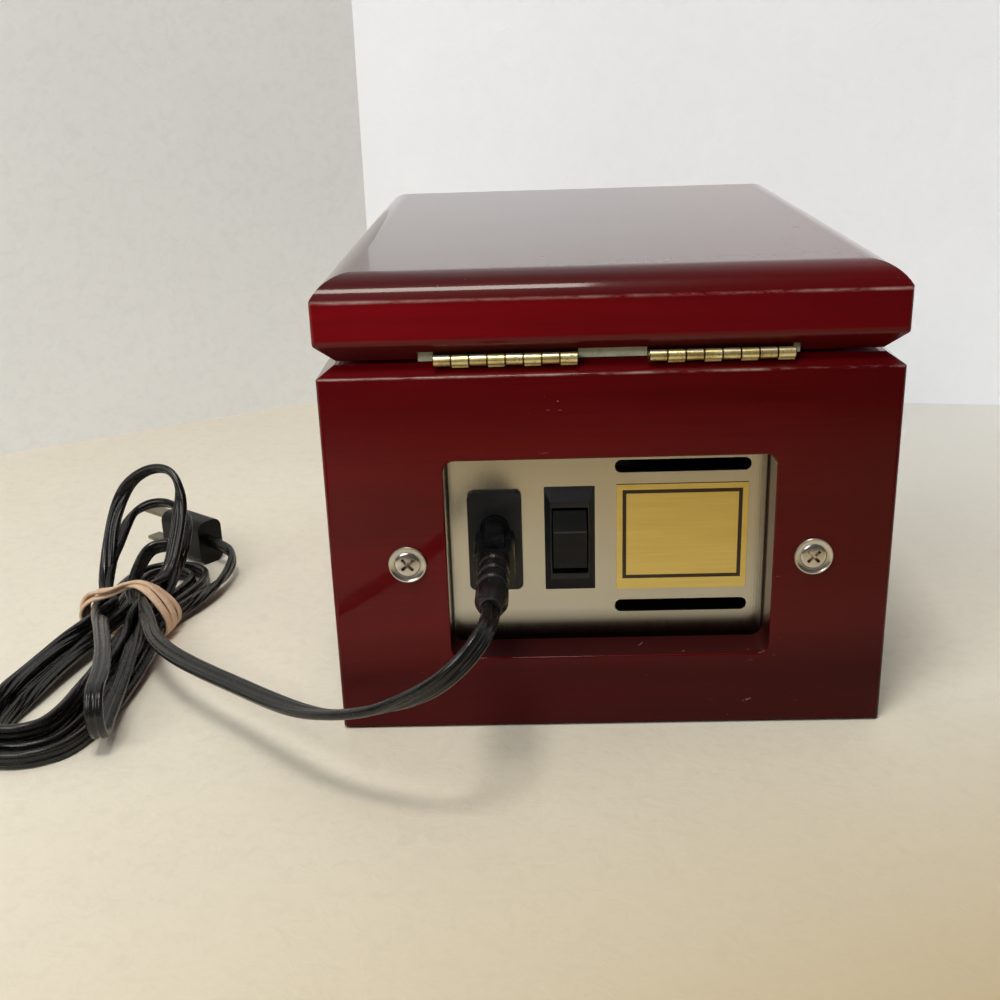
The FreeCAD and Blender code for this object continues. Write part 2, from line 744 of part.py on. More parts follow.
# Mains inlet and rocker switch
def make_inlet():
    x, z = "inlet_side", "panel_z"
    flange = rounded_slab("inlet_flange_solid", around(x, "inlet_wide"), ("inner_back", "inlet_face"),
                          around(z, "inlet_high"), "inlet_round", "Y")
    body = slab("inlet_body_solid", around(x, "inlet_body_wide"),
                ("plate_in - inlet_body_deep", "inner_back"), around(z, "inlet_body_high"), "Y")
    socket = rounded_slab("socket_tool", around(x, "socket_wide"),
                          ("inlet_face - socket_deep", "inlet_face + cut_over"),
                          around(z, "socket_high"), "socket_wide / 2 - round_flat", "Y")
    holes, pins = [], []
    for sign in (1, -1):
        pin_z = f"panel_z + {sign} * pin_apart / 2"
        holes.append(rod(f"pin_hole_{sign + 1}", "pin_radius + run_clear", "inlet_body_deep + socket_deep",
                         x, "plate_in - inlet_body_deep - cut_over", pin_z, "Y"))
        pins.append(rod(f"pin_{sign + 1}", "pin_radius", "inlet_face - pin_inset - pin_end",
                        x, "pin_end", pin_z, "Y"))
    node("power_inlet", cut("inlet_cut", fuse("inlet_plain", flange, body), socket, *holes))
    node("inlet_pins", group("pin_group", *pins))


# Corners of the rocker seen from its side, out and up from its pivot, as shares of its reach
ROCKER_CORNERS = (
    (0.57, -0.815), (0.6, 0.32), (0.33, 0.92), (-0.1, 0.86), (-0.45, 0.38), (-0.45, -0.38), (-0.1, -0.86),
)


def make_switch():
    x, z = "switch_side", "panel_z"
    bezel = doc.addObject("Part::Wedge", "bezel")
    frustum(bezel, both("switch_wide / 2"), both("switch_high / 2"),
            both("switch_wide / 2 - bezel_slope_side"), both("switch_high / 2 - bezel_slope_end"),
            "bezel_high")
    locate(bezel, x, "inner_back", z)
    body = slab("switch_body_solid", around(x, "switch_body_wide"),
                ("plate_in - switch_body_deep", "inner_back"), around(z, "switch_body_high"), "Y")
    well = slab("well_tool", around(x, "rocker_wide + 2 * rocker_gap"),
                ("pivot_y - well_deep", "switch_face + cut_over"),
                around(z, "2 * rocker_reach + 2 * rocker_gap"), "Y")
    pivot_long = "rocker_wide + 2 * trunnion_long"
    pivot_hole = rod("pivot_hole", "trunnion_radius + run_clear", f"{pivot_long} + 4 * run_clear",
                     f"{x} - ({pivot_long}) / 2 - 2 * run_clear", "pivot_y", z, "X")
    terminal_holes, terminals = [], []
    for sign in (1, -1):
        middle = f"panel_z + {sign} * terminal_apart / 2"
        length = ("terminal_end", "plate_in - switch_body_deep + terminal_root")
        for name, extra, made in (("hole", "2 * run_clear", terminal_holes), ("tab", "0", terminals)):
            made.append(block(f"terminal_{name}_{sign + 1}", around(x, f"terminal_thick + {extra}"), length,
                              around(middle, f"terminal_wide + {extra}")))
    plain = fuse("switch_plain", bezel, body)
    node("switch_housing", cut("switch_cut", plain, well, pivot_hole, *terminal_holes))
    node("switch_terminals", group("terminal_group", *terminals))
    profile = [(f"pivot_y + rocker_reach * {out}", f"{z} + rocker_reach * {up}")
               for out, up in ROCKER_CORNERS]
    paddle = locate(prism("paddle", "YZ_Plane", profile, "rocker_wide", middle=True), x, "0", "0")
    trunnion = rod("trunnion", "trunnion_radius", pivot_long, f"{x} - ({pivot_long}) / 2", "pivot_y", z, "X")
    node("switch_rocker", fuse("rocker_solid", paddle, trunnion))


# Felt-covered deck and shelf, with the cleats that carry them
def make_deck():
    side = both("inner_side - fit_gap")
    room = block("deck_room", side, ("-inner_back + fit_gap", "shelf_front - fit_gap"),
                 ("floor_top + fit_gap", "shelf_top"))
    sheet_y = both("base_deep")
    board = tilted_block("deck_board", side, sheet_y, ("-deck_thick", "0"))
    hole = tilted_rod("deck_hole", "cup_radius + deck_hole_gap", "-deck_thick - cut_over", "cut_over")
    node("deck_panel", cut("deck_cut", common("deck_trimmed", board, room), hole))
    node("rear_shelf", block("shelf_solid", side, ("shelf_front", "inner_back - fit_gap"),
                             ("shelf_top - deck_thick", "shelf_top")))
    cleat_room = block("cleat_room", both("inner_side"), ("-inner_back + fit_gap", "shelf_front - fit_gap"),
                       ("floor_top + fit_gap", "shelf_top - deck_thick - cleat_high - fit_gap"))
    cleat_x = ("inner_side - cleat_wide", "inner_side")
    bar = tilted_block("cleat_bar", cleat_x, sheet_y, ("-deck_thick - cleat_high", "-deck_thick"))
    cleat = common("cleat_left", cleat_room, bar)
    node("deck_left_cleat", cleat)
    node("deck_right_cleat", mirrored("cleat_right", cleat))
    ledge = block("ledge_left", cleat_x, ("shelf_front + cleat_high", "plate_in - fit_gap"),
                  ("shelf_top - deck_thick - cleat_high", "shelf_top - deck_thick"))
    node("shelf_left_cleat", ledge)
    node("shelf_right_cleat", mirrored("ledge_right", ledge))


# Winding cup with its foam ring and watch cushion
def make_cup():
    inner = "cup_radius - cup_wall"
    cup = turned("cup_solid", (
        ("shaft_radius + run_clear", "hub_end"), ("hub_radius", "hub_end"), ("hub_radius", "cup_low"),
        ("cup_radius - cup_bevel", "cup_low"), ("cup_radius", "cup_low + cup_bevel"),
        ("cup_radius", "cup_proud - rim_bevel"), ("cup_radius - rim_bevel", "cup_proud"),
        (f"{inner} + rim_bevel", "cup_proud"), (inner, "cup_proud - rim_bevel"),
        (inner, "insert_low"), ("0", "insert_low"),
        ("0", "cup_low"), ("shaft_radius + run_clear", "cup_low")))
    node("cup_shell", tilt(cup, "0", "0", "0"))
    ring = tilted_rod("insert_ring", f"{inner} - insert_gap", "insert_low", "-insert_drop")
    pocket = rounded_slab("pocket_tool", both("pocket_wide / 2"), both("pocket_tall / 2"),
                          ("0", "2 * cut_over - insert_drop - insert_low"), "pocket_round")
    tilt(pocket, "0", "0", "insert_low - cut_over")
    node("cup_insert", cut("insert_cut", ring, pocket))
    node("watch_cushion", tilt(cushion(), "0", "0", "insert_low + fit_gap"))


def rounded_section(wide, tall, radius, height):
    """A rectangle with round corners, as a closed wire at one height."""
    x, y = wide / 2 - radius, tall / 2 - radius
    diagonal = radius * math.sqrt(0.5)
    edges = []
    last = None
    for k, (cx, cy) in enumerate(((x, y), (-x, y), (-x, -y), (x, -y))):
        turn = Rotation(Vector(0, 0, 1), 90 * k)
        centre = Vector(cx, cy, height)
        start, middle, stop = (centre + turn.multVec(Vector(*offset, 0)) for offset in
                               ((radius, 0), (diagonal, diagonal), (0, radius)))
        if last is not None:
            edges.append(Part.LineSegment(last, start).toShape())
        else:
            first = start
        edges.append(Part.Arc(start, middle, stop).toShape())
        last = stop
    edges.append(Part.LineSegment(last, first).toShape())
    return Part.Wire(edges)


# Sections of the cushion: height as a share of the whole, and inset in tucks
CUSHION_LEVELS = (
    (0.0, 3.0), (0.04, 1.0), (0.2, 0.0), (0.45, 1.0), (0.75, 0.0), (0.92, 0.6), (0.975, 2.5), (1.0, 5.5),
)


def cushion():
    """The watch cushion: tucked in at its foot and sides, with a crowned top."""
    wide = get("pocket_wide") - 2 * get("cushion_gap")
    tall = get("pocket_tall") - 2 * get("cushion_gap")
    radius = get("pocket_round") - get("cushion_gap")
    top = get("cushion_proud") - get("insert_low") - get("fit_gap")
    tuck = get("cushion_tuck")
    sections = []
    for height, tucks in CUSHION_LEVELS:
        inset = tuck * tucks
        sections.append(rounded_section(wide - 2 * inset, tall - 2 * inset, radius - inset, top * height))
    solid = doc.addObject("Part::Feature", "cushion_solid")
    solid.Shape = Part.makeLoft(sections, True, False)
    return solid


# Motor, bracket, bush and shaft
def make_drive():
    cosine, sine = "cos(deck_tilt)", "sin(deck_tilt)"

    def point(up, out):
        return (f"cup_y + ({up}) * {cosine} - ({out}) * {sine}",
                f"cup_z + ({up}) * {sine} + ({out}) * {cosine}")

    def at_height(height, out):
        return point(f"(({height}) - cup_z - ({out}) * {cosine}) / {sine}", out)

    low, high = "floor_top", "floor_top + bracket_thick"
    toe = "bracket_toe"
    corners = ((toe, low), ("bracket_heel", low),
               point("bracket_above", "bracket_back"), point("bracket_above", "bracket_front"),
               at_height(high, "bracket_front"), (toe, high))
    bracket = prism("bracket_solid", "YZ_Plane", corners, "bracket_wide", middle=True)
    through = ("bracket_back - cut_over", "bracket_front + cut_over")
    tools = [tilted_rod("bush_hole", "bush_radius + run_clear", *through)]
    motor_screws, foot_screws = [], []
    for sign in (1, -1):
        x = f"{sign} * motor_screw_apart / 2"
        tools.append(tilted_rod(f"motor_hole_{sign + 1}", "motor_screw_radius + run_clear", *through, x))
        motor_screws.append(fuse(
            f"motor_screw_{sign + 1}",
            tilted_rod(f"motor_shank_{sign + 1}", "motor_screw_radius",
                       "bracket_back - ear_thick - motor_screw_tail",
                       "bracket_front + screw_head_high / 2", x),
            tilted_rod(f"motor_head_{sign + 1}", "motor_screw_head", "bracket_front",
                       "bracket_front + screw_head_high", x)))
        x = f"{sign} * foot_screw_apart / 2"
        tools.append(rod(f"foot_hole_{sign + 1}", "motor_screw_radius + run_clear",
                         "bracket_thick + 2 * cut_over", x, "foot_screw_y", "floor_top - cut_over"))
        foot_screws.append(fuse(
            f"foot_screw_{sign + 1}",
            rod(f"foot_shank_{sign + 1}", "motor_screw_radius", f"{high} - felt_thick - pilot_rise - fit_gap",
                x, "foot_screw_y", "felt_thick + pilot_rise + fit_gap"),
            rod(f"foot_head_{sign + 1}", "motor_screw_head", "screw_head_high", x, "foot_screw_y", high)))
    node("motor_bracket", cut("bracket_cut", bracket, *tools))
    node("motor_screws", group("motor_screw_group", *motor_screws))
    node("bracket_screws", group("foot_screw_group", *foot_screws))
    bush = turned("bush_solid", (
        ("shaft_radius + run_clear", "bracket_back"), ("bush_radius", "bracket_back"),
        ("bush_radius", "bracket_front"), ("bush_flange_radius", "bracket_front"),
        ("bush_flange_radius", "bracket_front + bush_flange"),
        ("shaft_radius + run_clear", "bracket_front + bush_flange")))
    node("shaft_bush", tilt(bush, "0", "0", "0"))
    ears = tilted_block("motor_ears", both("ear_wide / 2"), both("ear_tall / 2"),
                        ("bracket_back - ear_thick", "bracket_back"))
    case = tilted_rod("gearbox_case", "gearbox_radius", "gearbox_back", "bracket_back")
    over = "bracket_back + cut_over"
    bores = [tilted_rod("shaft_bore", "shaft_radius + run_clear", "gearbox_back + shaft_end_wall", over)]
    for sign in (1, -1):
        bores.append(tilted_rod(f"ear_hole_{sign + 1}", "motor_screw_radius + run_clear",
                                "bracket_back - ear_thick - cut_over", over,
                                f"{sign} * motor_screw_apart / 2"))
    node("motor_gearbox", cut("gearbox_cut", fuse("gearbox_plain", ears, case), *bores))
    can = turned("motor_can_solid", (
        ("0", "motor_back"), ("motor_radius - motor_bevel", "motor_back"),
        ("motor_radius", "motor_back + motor_bevel"), ("motor_radius", "gearbox_back"),
        ("0", "gearbox_back")))
    node("motor_can", tilt(can, "0", "0", "0"))
    shaft_end = "gearbox_back + shaft_end_wall + fit_gap"
    node("cup_shaft", tilted_rod("shaft_solid", "shaft_radius", shaft_end, "cup_low"))


# Round tubes along straight runs joined by tangent arcs
def rounded_path(points):
    """The route as a wire, with the radii of its arcs: 0.45 of the shorter run over tan(half turn)."""
    edges, radii = [], []
    here = points[0]
    for before, corner, after in zip(points, points[1:], points[2:]):
        into, out = corner - before, after - corner
        turn = into.getAngle(out)
        trim = 0.45 * min(into.Length, out.Length)
        radius = trim / math.tan(turn / 2)
        radii.append(radius)
        into.normalize()
        out.normalize()
        start, stop = corner - into * trim, corner + out * trim
        inward = (out - into).normalize()
        middle = corner + inward * (radius / math.cos(turn / 2) - radius)
        edges.append(Part.LineSegment(here, start).toShape())
        edges.append(Part.Arc(start, middle, stop).toShape())
        here = stop
    edges.append(Part.LineSegment(here, points[-1]).toShape())
    return Part.Wire(edges), radii


def pipe(name, wire, start, heading, radius):
    """A round tube along a smooth wire, as one solid."""
    profile = Part.Wire(Part.makeCircle(radius, start, heading))
    shape = wire.makePipeShell([profile], True, False)
    solid = doc.addObject("Part::Feature", name)
    solid.Shape = shape if shape.ShapeType == "Solid" else Part.Solid(Part.Shell(shape.Faces))
    share = solid.Shape.Volume / (math.pi * radius ** 2 * wire.Length)
    print(f"{name}: length {wire.Length:.1f} mm, volume over section times length {share:.4f}")
    return solid


def tube(name, points, radius):
    wire, radii = rounded_path(points)
    print(f"{name}: least radius {min(radii):.1f} mm, radii", [round(value, 1) for value in radii])
    return pipe(name, wire, points[0], points[1] - points[0], radius)


# Leads from the inlet to the switch and on to the motor
def make_wires():
    radius, lead = get("wire_radius"), get("wire_lead")
    pins, tabs = ([Vector(get(side), get(end), get("panel_z") + sign * get(apart) / 2) for sign in (1, -1)]
                  for side, end, apart in (("inlet_side", "pin_end", "pin_apart"),
                                           ("switch_side", "terminal_end", "terminal_apart")))
    ahead = Vector(0, -lead, 0)
    lean = math.radians(get("deck_tilt"))
    slope, out = Vector(0, math.cos(lean), math.sin(lean)), Vector(0, -math.sin(lean), math.cos(lean))
    can_end = Vector(0, get("cup_y"), get("cup_z")) + slope * get("wire_entry_up") + out * get("motor_back")
    entries = [can_end + Vector(sign * get("wire_entry_apart") / 2, 0, 0) for sign in (1, -1)]
    middle = (pins[0] + tabs[0]) * 0.5 + ahead * 1.8
    across = (pins[0], pins[0] + ahead, middle, tabs[0] + ahead, tabs[0])
    node("inlet_switch_wire", tube("wire_across", across, radius))
    leads = (("inlet_motor_wire", pins[1], entries[0]), ("switch_motor_wire", tabs[1], entries[1]))
    for label, start, entry in leads:
        approach = entry - out * lead
        bend = (start + ahead * 1.6 + approach) * 0.5
        node(label, tube(f"{label}_solid", (start, start + ahead, bend, approach, entry), radius))


# Connector in the inlet, strain relief, cord, hank, band and plug
def make_connector():
    x, z = "inlet_side", "panel_z"
    near = "inlet_face + fit_gap"
    nose = rounded_slab("nose_solid", around(x, "socket_wide - 2 * nose_gap"),
                        ("inlet_face - nose_deep", near), around(z, "socket_high - 2 * nose_gap"),
                        "socket_wide / 2 - nose_gap - round_flat", "Y")
    grip = rounded_slab("grip_solid", around(x, "grip_wide"), (near, "grip_end"),
                        (f"{z} - grip_below", f"{z} + grip_above"), "grip_round", "Y")
    rib = rounded_slab("rib_solid", around(x, "grip_rib_wide"), (near, "grip_end - rib_short"),
                       (z, f"{z} + grip_above + grip_rib_high"), "rib_round", "Y")
    holes = [rod(f"contact_{sign + 1}", "pin_radius + run_clear", "nose_deep",
                 x, "inlet_face - nose_deep - cut_over", f"{z} + {sign} * pin_apart / 2", "Y")
             for sign in (1, -1)]
    node("cord_connector", cut("connector_cut", fuse("connector_plain", nose, grip, rib), *holes))
    rings = [("0", "0"), ("relief_radius", "0")]
    for k in range(int(get("relief_rings"))):
        low = f"relief_first + {k} * relief_pitch"
        rings += [("relief_radius", low), ("relief_neck", f"{low} + relief_bevel"),
                  ("relief_neck", f"{low} + relief_groove"),
                  ("relief_radius", f"{low} + relief_groove + relief_bevel")]
    rings += [("relief_radius", "relief_long - relief_taper"), ("relief_tip", "relief_long"),
              ("0", "relief_long")]
    relief = locate(turned("relief_solid", rings), x, "grip_end", z, TURN_TO["Y"])
    node("cord_strain_relief", relief)


def biarc(start, heading, stop, arrival):
    """Two tangent arcs, or straight lines, between two points with given headings."""
    span = stop - start
    both_ways = heading + arrival
    bend = 1 - heading.dot(arrival)
    if bend < 1e-9:
        reach = span.dot(span) / (4 * span.dot(arrival))
    else:
        along = span.dot(both_ways)
        reach = (math.sqrt(along ** 2 + 2 * bend * span.dot(span)) - along) / (2 * bend)
    first, second = start + heading * reach, stop - arrival * reach
    joint = (first + second) * 0.5
    return arc(start, first, joint) + arc(joint, second, stop)


def arc(start, corner, stop):
    """The arc that leaves and arrives along the two legs of a corner, as a list of one edge."""
    chord = stop - start
    turn = (corner - start).getAngle(chord)
    if turn < 1e-6:
        return [Part.LineSegment(start, stop).toShape()]
    middle = (start + stop) * 0.5
    rise = chord.Length / 2 * math.tan(turn / 2)
    return [Part.Arc(start, middle + (corner - middle).normalize() * rise, stop).toShape()]


# Each run of the hank: its side (1 towards +X), its ring from the outside in, and its layer
HANK_RUNS = (
    (-1, 1.5, 2.1), (1, 0, 1), (-1, 1, 1), (1, 1, 1), (-1, 2, 1), (1, 2, 0.5),
    (-1, 2, 0), (1, 1, 0), (-1, 1, 0), (1, 0, 0), (-1, 0, 0),
)
# The loop that stands up, in degrees and millimetres from the waist: its half width, its shift across,
# where its limbs straighten along the hank and above the floor, and how long they stay straight
TALL_LEAN, TALL_HALF, TALL_SHIFT = 58.0, 13.0, 5.0
TALL_FOOT_ALONG, TALL_FOOT_HIGH, TALL_LIMB = -24.0, 22.0, 21.5
# The upper lobes that lean up: degrees, the straight of each limb, and the shoulder's shift along and up
LEANING = {(-1, 1, 1): (38.0, 10.0, 8.0, 12.0), (-1, 2, 1): (22.0, 3.0, 6.0, 6.5)}
# Where the last run passes the upper lobes, where it enters the plug, across and along, and the plug's turn
PLUG_BEND, PLUG_ENTRY, PLUG_TURN = (-20.5, -41.0), (-9.0, -65.8), 60.0


def hank_stations():
    """Points and headings along the hank: across, along towards +Y and up, from its waist on the floor."""
    across, along = Vector(1, 0, 0), Vector(0, 1, 0)
    lobe = {-1: lambda ring: get("upper_lobe") + (2 - ring) * get("upper_lobe_step"),
            1: lambda ring: get("lower_lobe") + (2 - ring) * get("lower_lobe_step")}
    reach = {-1: -get("upper_reach"), 1: get("lower_reach")}

    def waist(run):
        side, ring, layer = run
        return Vector(side * (2.5 - ring) * get("strand_pitch"), 0,
                      get("waist_lift") + layer * get("layer_pitch"))

    def shoulder(run, end, layer):
        side, ring, _ = run
        return Vector(side * lobe[end](ring), reach[end], get("lobe_lift") + layer * get("layer_pitch"))

    lay = hank_lay()
    before, start = (lay.inverse().multVec(Vector(*point)) for point in CORD_ROUTE[-2:])
    enter = (start - before).normalize()
    stations = [(start, enter), (start + enter * get("cord_round"), enter), (waist(HANK_RUNS[0]), -along)]
    for before, after in zip(HANK_RUNS, HANK_RUNS[1:]):
        end = before[0]
        layer = math.ceil(after[2]) if end < 0 else math.floor(after[2])
        if before == HANK_RUNS[0]:
            stations += tall_loop()
        else:
            lean, limb, back, lift = LEANING.get(before, (0.0, 0.0, 0.0, 0.0))
            aim = along * end * math.cos(math.radians(lean)) + Vector(0, 0, math.sin(math.radians(lean)))
            feet = [shoulder(run, end, layer) + Vector(0, back, lift) for run in (before, after)]
            leave, arrive = (foot + aim * limb for foot in feet)
            top = (leave + arrive) * 0.5 + aim * (leave - arrive).Length / 2
            if limb:
                stations.append((feet[0], aim))
            stations += [(leave, aim), (top, across * after[0]), (arrive, -aim)]
            if limb:
                stations.append((feet[1], -aim))
        stations.append((waist(after), along * after[0]))
    bend = Vector(*PLUG_BEND, get("lobe_lift") + get("cord_round") / 2)
    entry, into = Vector(*PLUG_ENTRY, get("plug_high") / 2), plug_turn().multVec(-along)
    stations += [(bend, -along), (entry, into), (entry + into * get("cord_round"), into)]
    return [(lay.multVec(point), lay.Rotation.multVec(heading)) for point, heading in stations]


def hank_lay():
    """Where the hank lies: its waist's place on the floor and its turn about Z."""
    turn = Rotation(Vector(0, 0, -1), get("hank_turn"))
    return Placement(Vector(get("hank_side"), get("hank_back"), 0), turn)


def plug_turn():
    return Rotation(Vector(0, 0, 1), PLUG_TURN)


def tall_loop():
    """The one loop that stands up from the waist and comes back down."""
    lean = math.radians(TALL_LEAN)
    aim = Vector(0, -math.cos(lean), math.sin(lean))
    foot_up = Vector(TALL_SHIFT - TALL_HALF, TALL_FOOT_ALONG, TALL_FOOT_HIGH)
    foot_down = Vector(TALL_SHIFT + TALL_HALF, TALL_FOOT_ALONG, TALL_FOOT_HIGH)
    limb_up, limb_down = foot_up + aim * TALL_LIMB, foot_down + aim * TALL_LIMB
    crown = (limb_up + limb_down) * 0.5 + aim * TALL_HALF
    return [(foot_up, aim), (limb_up, aim), (crown, Vector(1, 0, 0)), (limb_down, -aim), (foot_down, -aim)]


def least_gap(wire, diameter, spacing):
    """The least clear distance between stretches of a tube that aren't next to each other."""
    points = wire.discretize(Distance=spacing)
    skip = int(math.tau * diameter / spacing)
    least = min((point - other).Length for k, point in enumerate(points) for other in points[k + skip:])
    return least - diameter


def winding(name, stations, diameter):
    edges = []
    for (start, heading), (stop, arrival) in zip(stations, stations[1:]):
        edges += biarc(start, heading, stop, arrival)
    wire = Part.Wire(edges)
    tightest = min(edge.Curve.Radius for edge in wire.Edges if hasattr(edge.Curve, "Radius"))
    gap = least_gap(wire, diameter, diameter / 3)
    print(f"{name}: least gap to itself {gap:.2f} mm, tightest arc {tightest:.1f} mm")
    return pipe(name, wire, stations[0][0], stations[0][1], diameter / 2)


def make_cord():
    route = [Vector(*point) for point in CORD_ROUTE]
    node("power_cord", tube("cord_run", route, get("cord_round") / 2))
    stations = hank_stations()
    node("cord_hank", winding("hank", stations, get("cord_round")))
    node("hank_band", winding("band", band_stations(), 2 * get("band_radius")))
    make_plug()


def band_stations():
    """A rubber band wound round the waist's outer strands, stepping along at its underside."""
    radius = get("cord_round") / 2 + get("band_gap") + get("band_radius")
    half, low, rise = get("waist_side"), get("waist_lift"), get("layer_pitch")
    top_side, top_ring, top_layer = HANK_RUNS[0]
    top = (top_side * (2.5 - top_ring) * get("strand_pitch"), low + top_layer * rise)
    corners = [(half, low), (half, low + rise), top, (-half, low)]
    turns = int(get("band_turns"))
    lay = hank_lay()
    stations = []
    for turn in range(turns + 1):
        along = (turn - turns / 2) * get("band_pitch")
        for (x, z), (next_x, next_z) in zip(corners, corners[1:] + corners[:1]):
            heading = Vector(next_x - x, 0, next_z - z).normalize()
            outward = Vector(heading.z, 0, -heading.x) * radius
            stations.append((Vector(x, along, z) + outward, heading))
            if (next_x, next_z) == corners[0]:
                along += get("band_pitch")
            stations.append((Vector(next_x, along, next_z) + outward, heading))
    return [(lay.multVec(point), lay.Rotation.multVec(heading)) for point, heading in stations[2:-4]]


def make_plug():
    """The plug at the hank's end, standing on its narrow side, with flat blades."""
    half_wide, half_high = both("plug_wide / 2"), both("plug_high / 2")
    body = rounded_slab("plug_solid", half_wide, ("-plug_long", "0"), half_high, "plug_round", "Y")
    blades, slots = [], []
    for sign in (1, -1):
        for name, extra, made in (("slot", "2 * run_clear", slots), ("solid", "0", blades)):
            made.append(block(f"blade_{name}_{sign + 1}", around("0", f"blade_wide + {extra}"),
                              ("-plug_long - blade_long", "blade_root - plug_long"),
                              around(f"{sign} * blade_apart / 2", f"blade_thick + {extra}")))
    lay = hank_lay()
    end = Vector(*PLUG_ENTRY, get("plug_high") / 2) - plug_turn().multVec(Vector(0, get("cord_round"), 0))
    plug = node("mains_plug", cut("plug_cut", body, *slots))
    pair = node("plug_blades", group("blade_group", *blades))
    for thing in (plug, pair):
        thing.Placement = Placement(lay.multVec(end), lay.Rotation * plug_turn())


make_base()
make_lid()
make_hinges()
make_chassis()
make_inlet()
make_switch()
make_deck()
make_cup()
make_drive()
make_wires()
make_connector()
make_cord()
doc.recompute()

faults = [item.Name for item in doc.Objects if "Invalid" in item.State or "Error" in item.State]
faults += [label for label, thing in nodes.items() if thing.Shape.isNull() or not thing.Shape.isValid()]
if faults:
    raise SystemExit(f"these didn't build: {faults}")
os.makedirs("parts", exist_ok=True)
for label, thing in nodes.items():
    thing.Shape.exportStep(f"parts/{label}.step")
print(f"{len(nodes)} sub-parts written")
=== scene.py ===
"""Looks of the watch winder box: camera, cord, materials, soft pieces and a plain pale set."""
import json
import math

import bmesh
import bpy
import numpy as np
from mathutils import Matrix, Vector


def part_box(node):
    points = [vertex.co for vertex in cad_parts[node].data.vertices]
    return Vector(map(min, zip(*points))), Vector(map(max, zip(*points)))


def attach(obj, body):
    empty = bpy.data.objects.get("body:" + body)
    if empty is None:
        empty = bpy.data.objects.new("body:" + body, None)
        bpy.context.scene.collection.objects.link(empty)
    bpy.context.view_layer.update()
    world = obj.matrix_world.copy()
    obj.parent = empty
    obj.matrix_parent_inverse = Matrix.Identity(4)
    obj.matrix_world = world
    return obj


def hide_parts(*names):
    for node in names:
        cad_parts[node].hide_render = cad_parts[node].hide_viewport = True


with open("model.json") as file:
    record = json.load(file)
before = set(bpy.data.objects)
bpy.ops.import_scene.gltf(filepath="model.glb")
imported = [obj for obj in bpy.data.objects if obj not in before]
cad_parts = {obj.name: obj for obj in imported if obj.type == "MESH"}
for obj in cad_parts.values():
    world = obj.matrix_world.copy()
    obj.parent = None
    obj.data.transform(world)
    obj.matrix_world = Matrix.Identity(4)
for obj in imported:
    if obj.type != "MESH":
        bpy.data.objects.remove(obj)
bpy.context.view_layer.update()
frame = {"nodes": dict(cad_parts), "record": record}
NODES = frame["nodes"]
SLOTS = {part["node"]: part["material_slot"] for part in frame["record"]["subparts"]}
BODIES = {node: body for body, names in frame["record"]["behaviour"]["bodies"].items() for node in names}
scene = bpy.context.scene
scene.view_settings.view_transform = "Standard"
MM = 0.001

# Camera

CAMERA_AT = Vector((0.021478, 0.453816, 0.203086))
CAMERA_YAW = math.radians(-1.812)
CAMERA_PITCH = math.radians(20.146)
CAMERA_ROLL = math.radians(-1.906)
CAMERA_LENS = 44.63
SENSOR_WIDE = 36


def make_camera():
    yaw, pitch, roll = CAMERA_YAW, CAMERA_PITCH, CAMERA_ROLL
    ahead = Vector((-math.sin(yaw) * math.cos(pitch), -math.cos(yaw) * math.cos(pitch), -math.sin(pitch)))
    level = Vector((-math.cos(yaw), math.sin(yaw), 0))
    rise = level.cross(ahead)
    right = level * math.cos(roll) + rise * math.sin(roll)
    up = rise * math.cos(roll) - level * math.sin(roll)
    data = bpy.data.cameras.new("camera")
    data.sensor_width = SENSOR_WIDE
    data.lens = CAMERA_LENS
    camera = bpy.data.objects.new("camera", data)
    scene.collection.objects.link(camera)
    turn = Matrix((right, up, -ahead)).transposed()
    camera.matrix_world = Matrix.Translation(CAMERA_AT) @ turn.to_4x4()
    scene.camera = camera


make_camera()

# Mesh helpers


def new_object(name, mesh, body):
    obj = bpy.data.objects.new(name, mesh)
    scene.collection.objects.link(obj)
    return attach(obj, body)


def new_mesh(name, points, faces, smooth=True):
    mesh = bpy.data.meshes.new(name)
    mesh.from_pydata([tuple(p) for p in points], [], [tuple(int(i) for i in face) for face in faces])
    mesh.validate()
    tool = bmesh.new()
    tool.from_mesh(mesh)
    bmesh.ops.recalc_face_normals(tool, faces=tool.faces)
    tool.to_mesh(mesh)
    tool.free()
    if smooth:
        mesh.shade_smooth()
    return mesh


def with_modifiers(obj):
    """A new mesh of an object as its modifiers leave it."""
    return bpy.data.meshes.new_from_object(obj.evaluated_get(bpy.context.evaluated_depsgraph_get()))


# points of a line that lie closer than this are one point
LEAST_STEP = 0.05 * MM


def smooth_line(points, closed=False, steps=16):
    """Points along one smooth spline whose control points are given."""
    curve = bpy.data.curves.new("line", "CURVE")
    curve.dimensions = "3D"
    spline = curve.splines.new("NURBS")
    spline.points.add(len(points) - 1)
    for knot, place in zip(spline.points, points):
        knot.co = (*place, 1)
    spline.use_cyclic_u = closed
    spline.use_endpoint_u = not closed
    spline.order_u = 3
    spline.resolution_u = steps
    obj = bpy.data.objects.new("line", curve)
    scene.collection.objects.link(obj)
    mesh = bpy.data.meshes.new_from_object(obj)
    line = np.array([v.co for v in mesh.vertices])
    bpy.data.objects.remove(obj)
    bpy.data.curves.remove(curve)
    bpy.data.meshes.remove(mesh)
    step = np.linalg.norm(np.diff(line, axis=0), axis=1)
    return line[np.concatenate([[True], step > LEAST_STEP])]


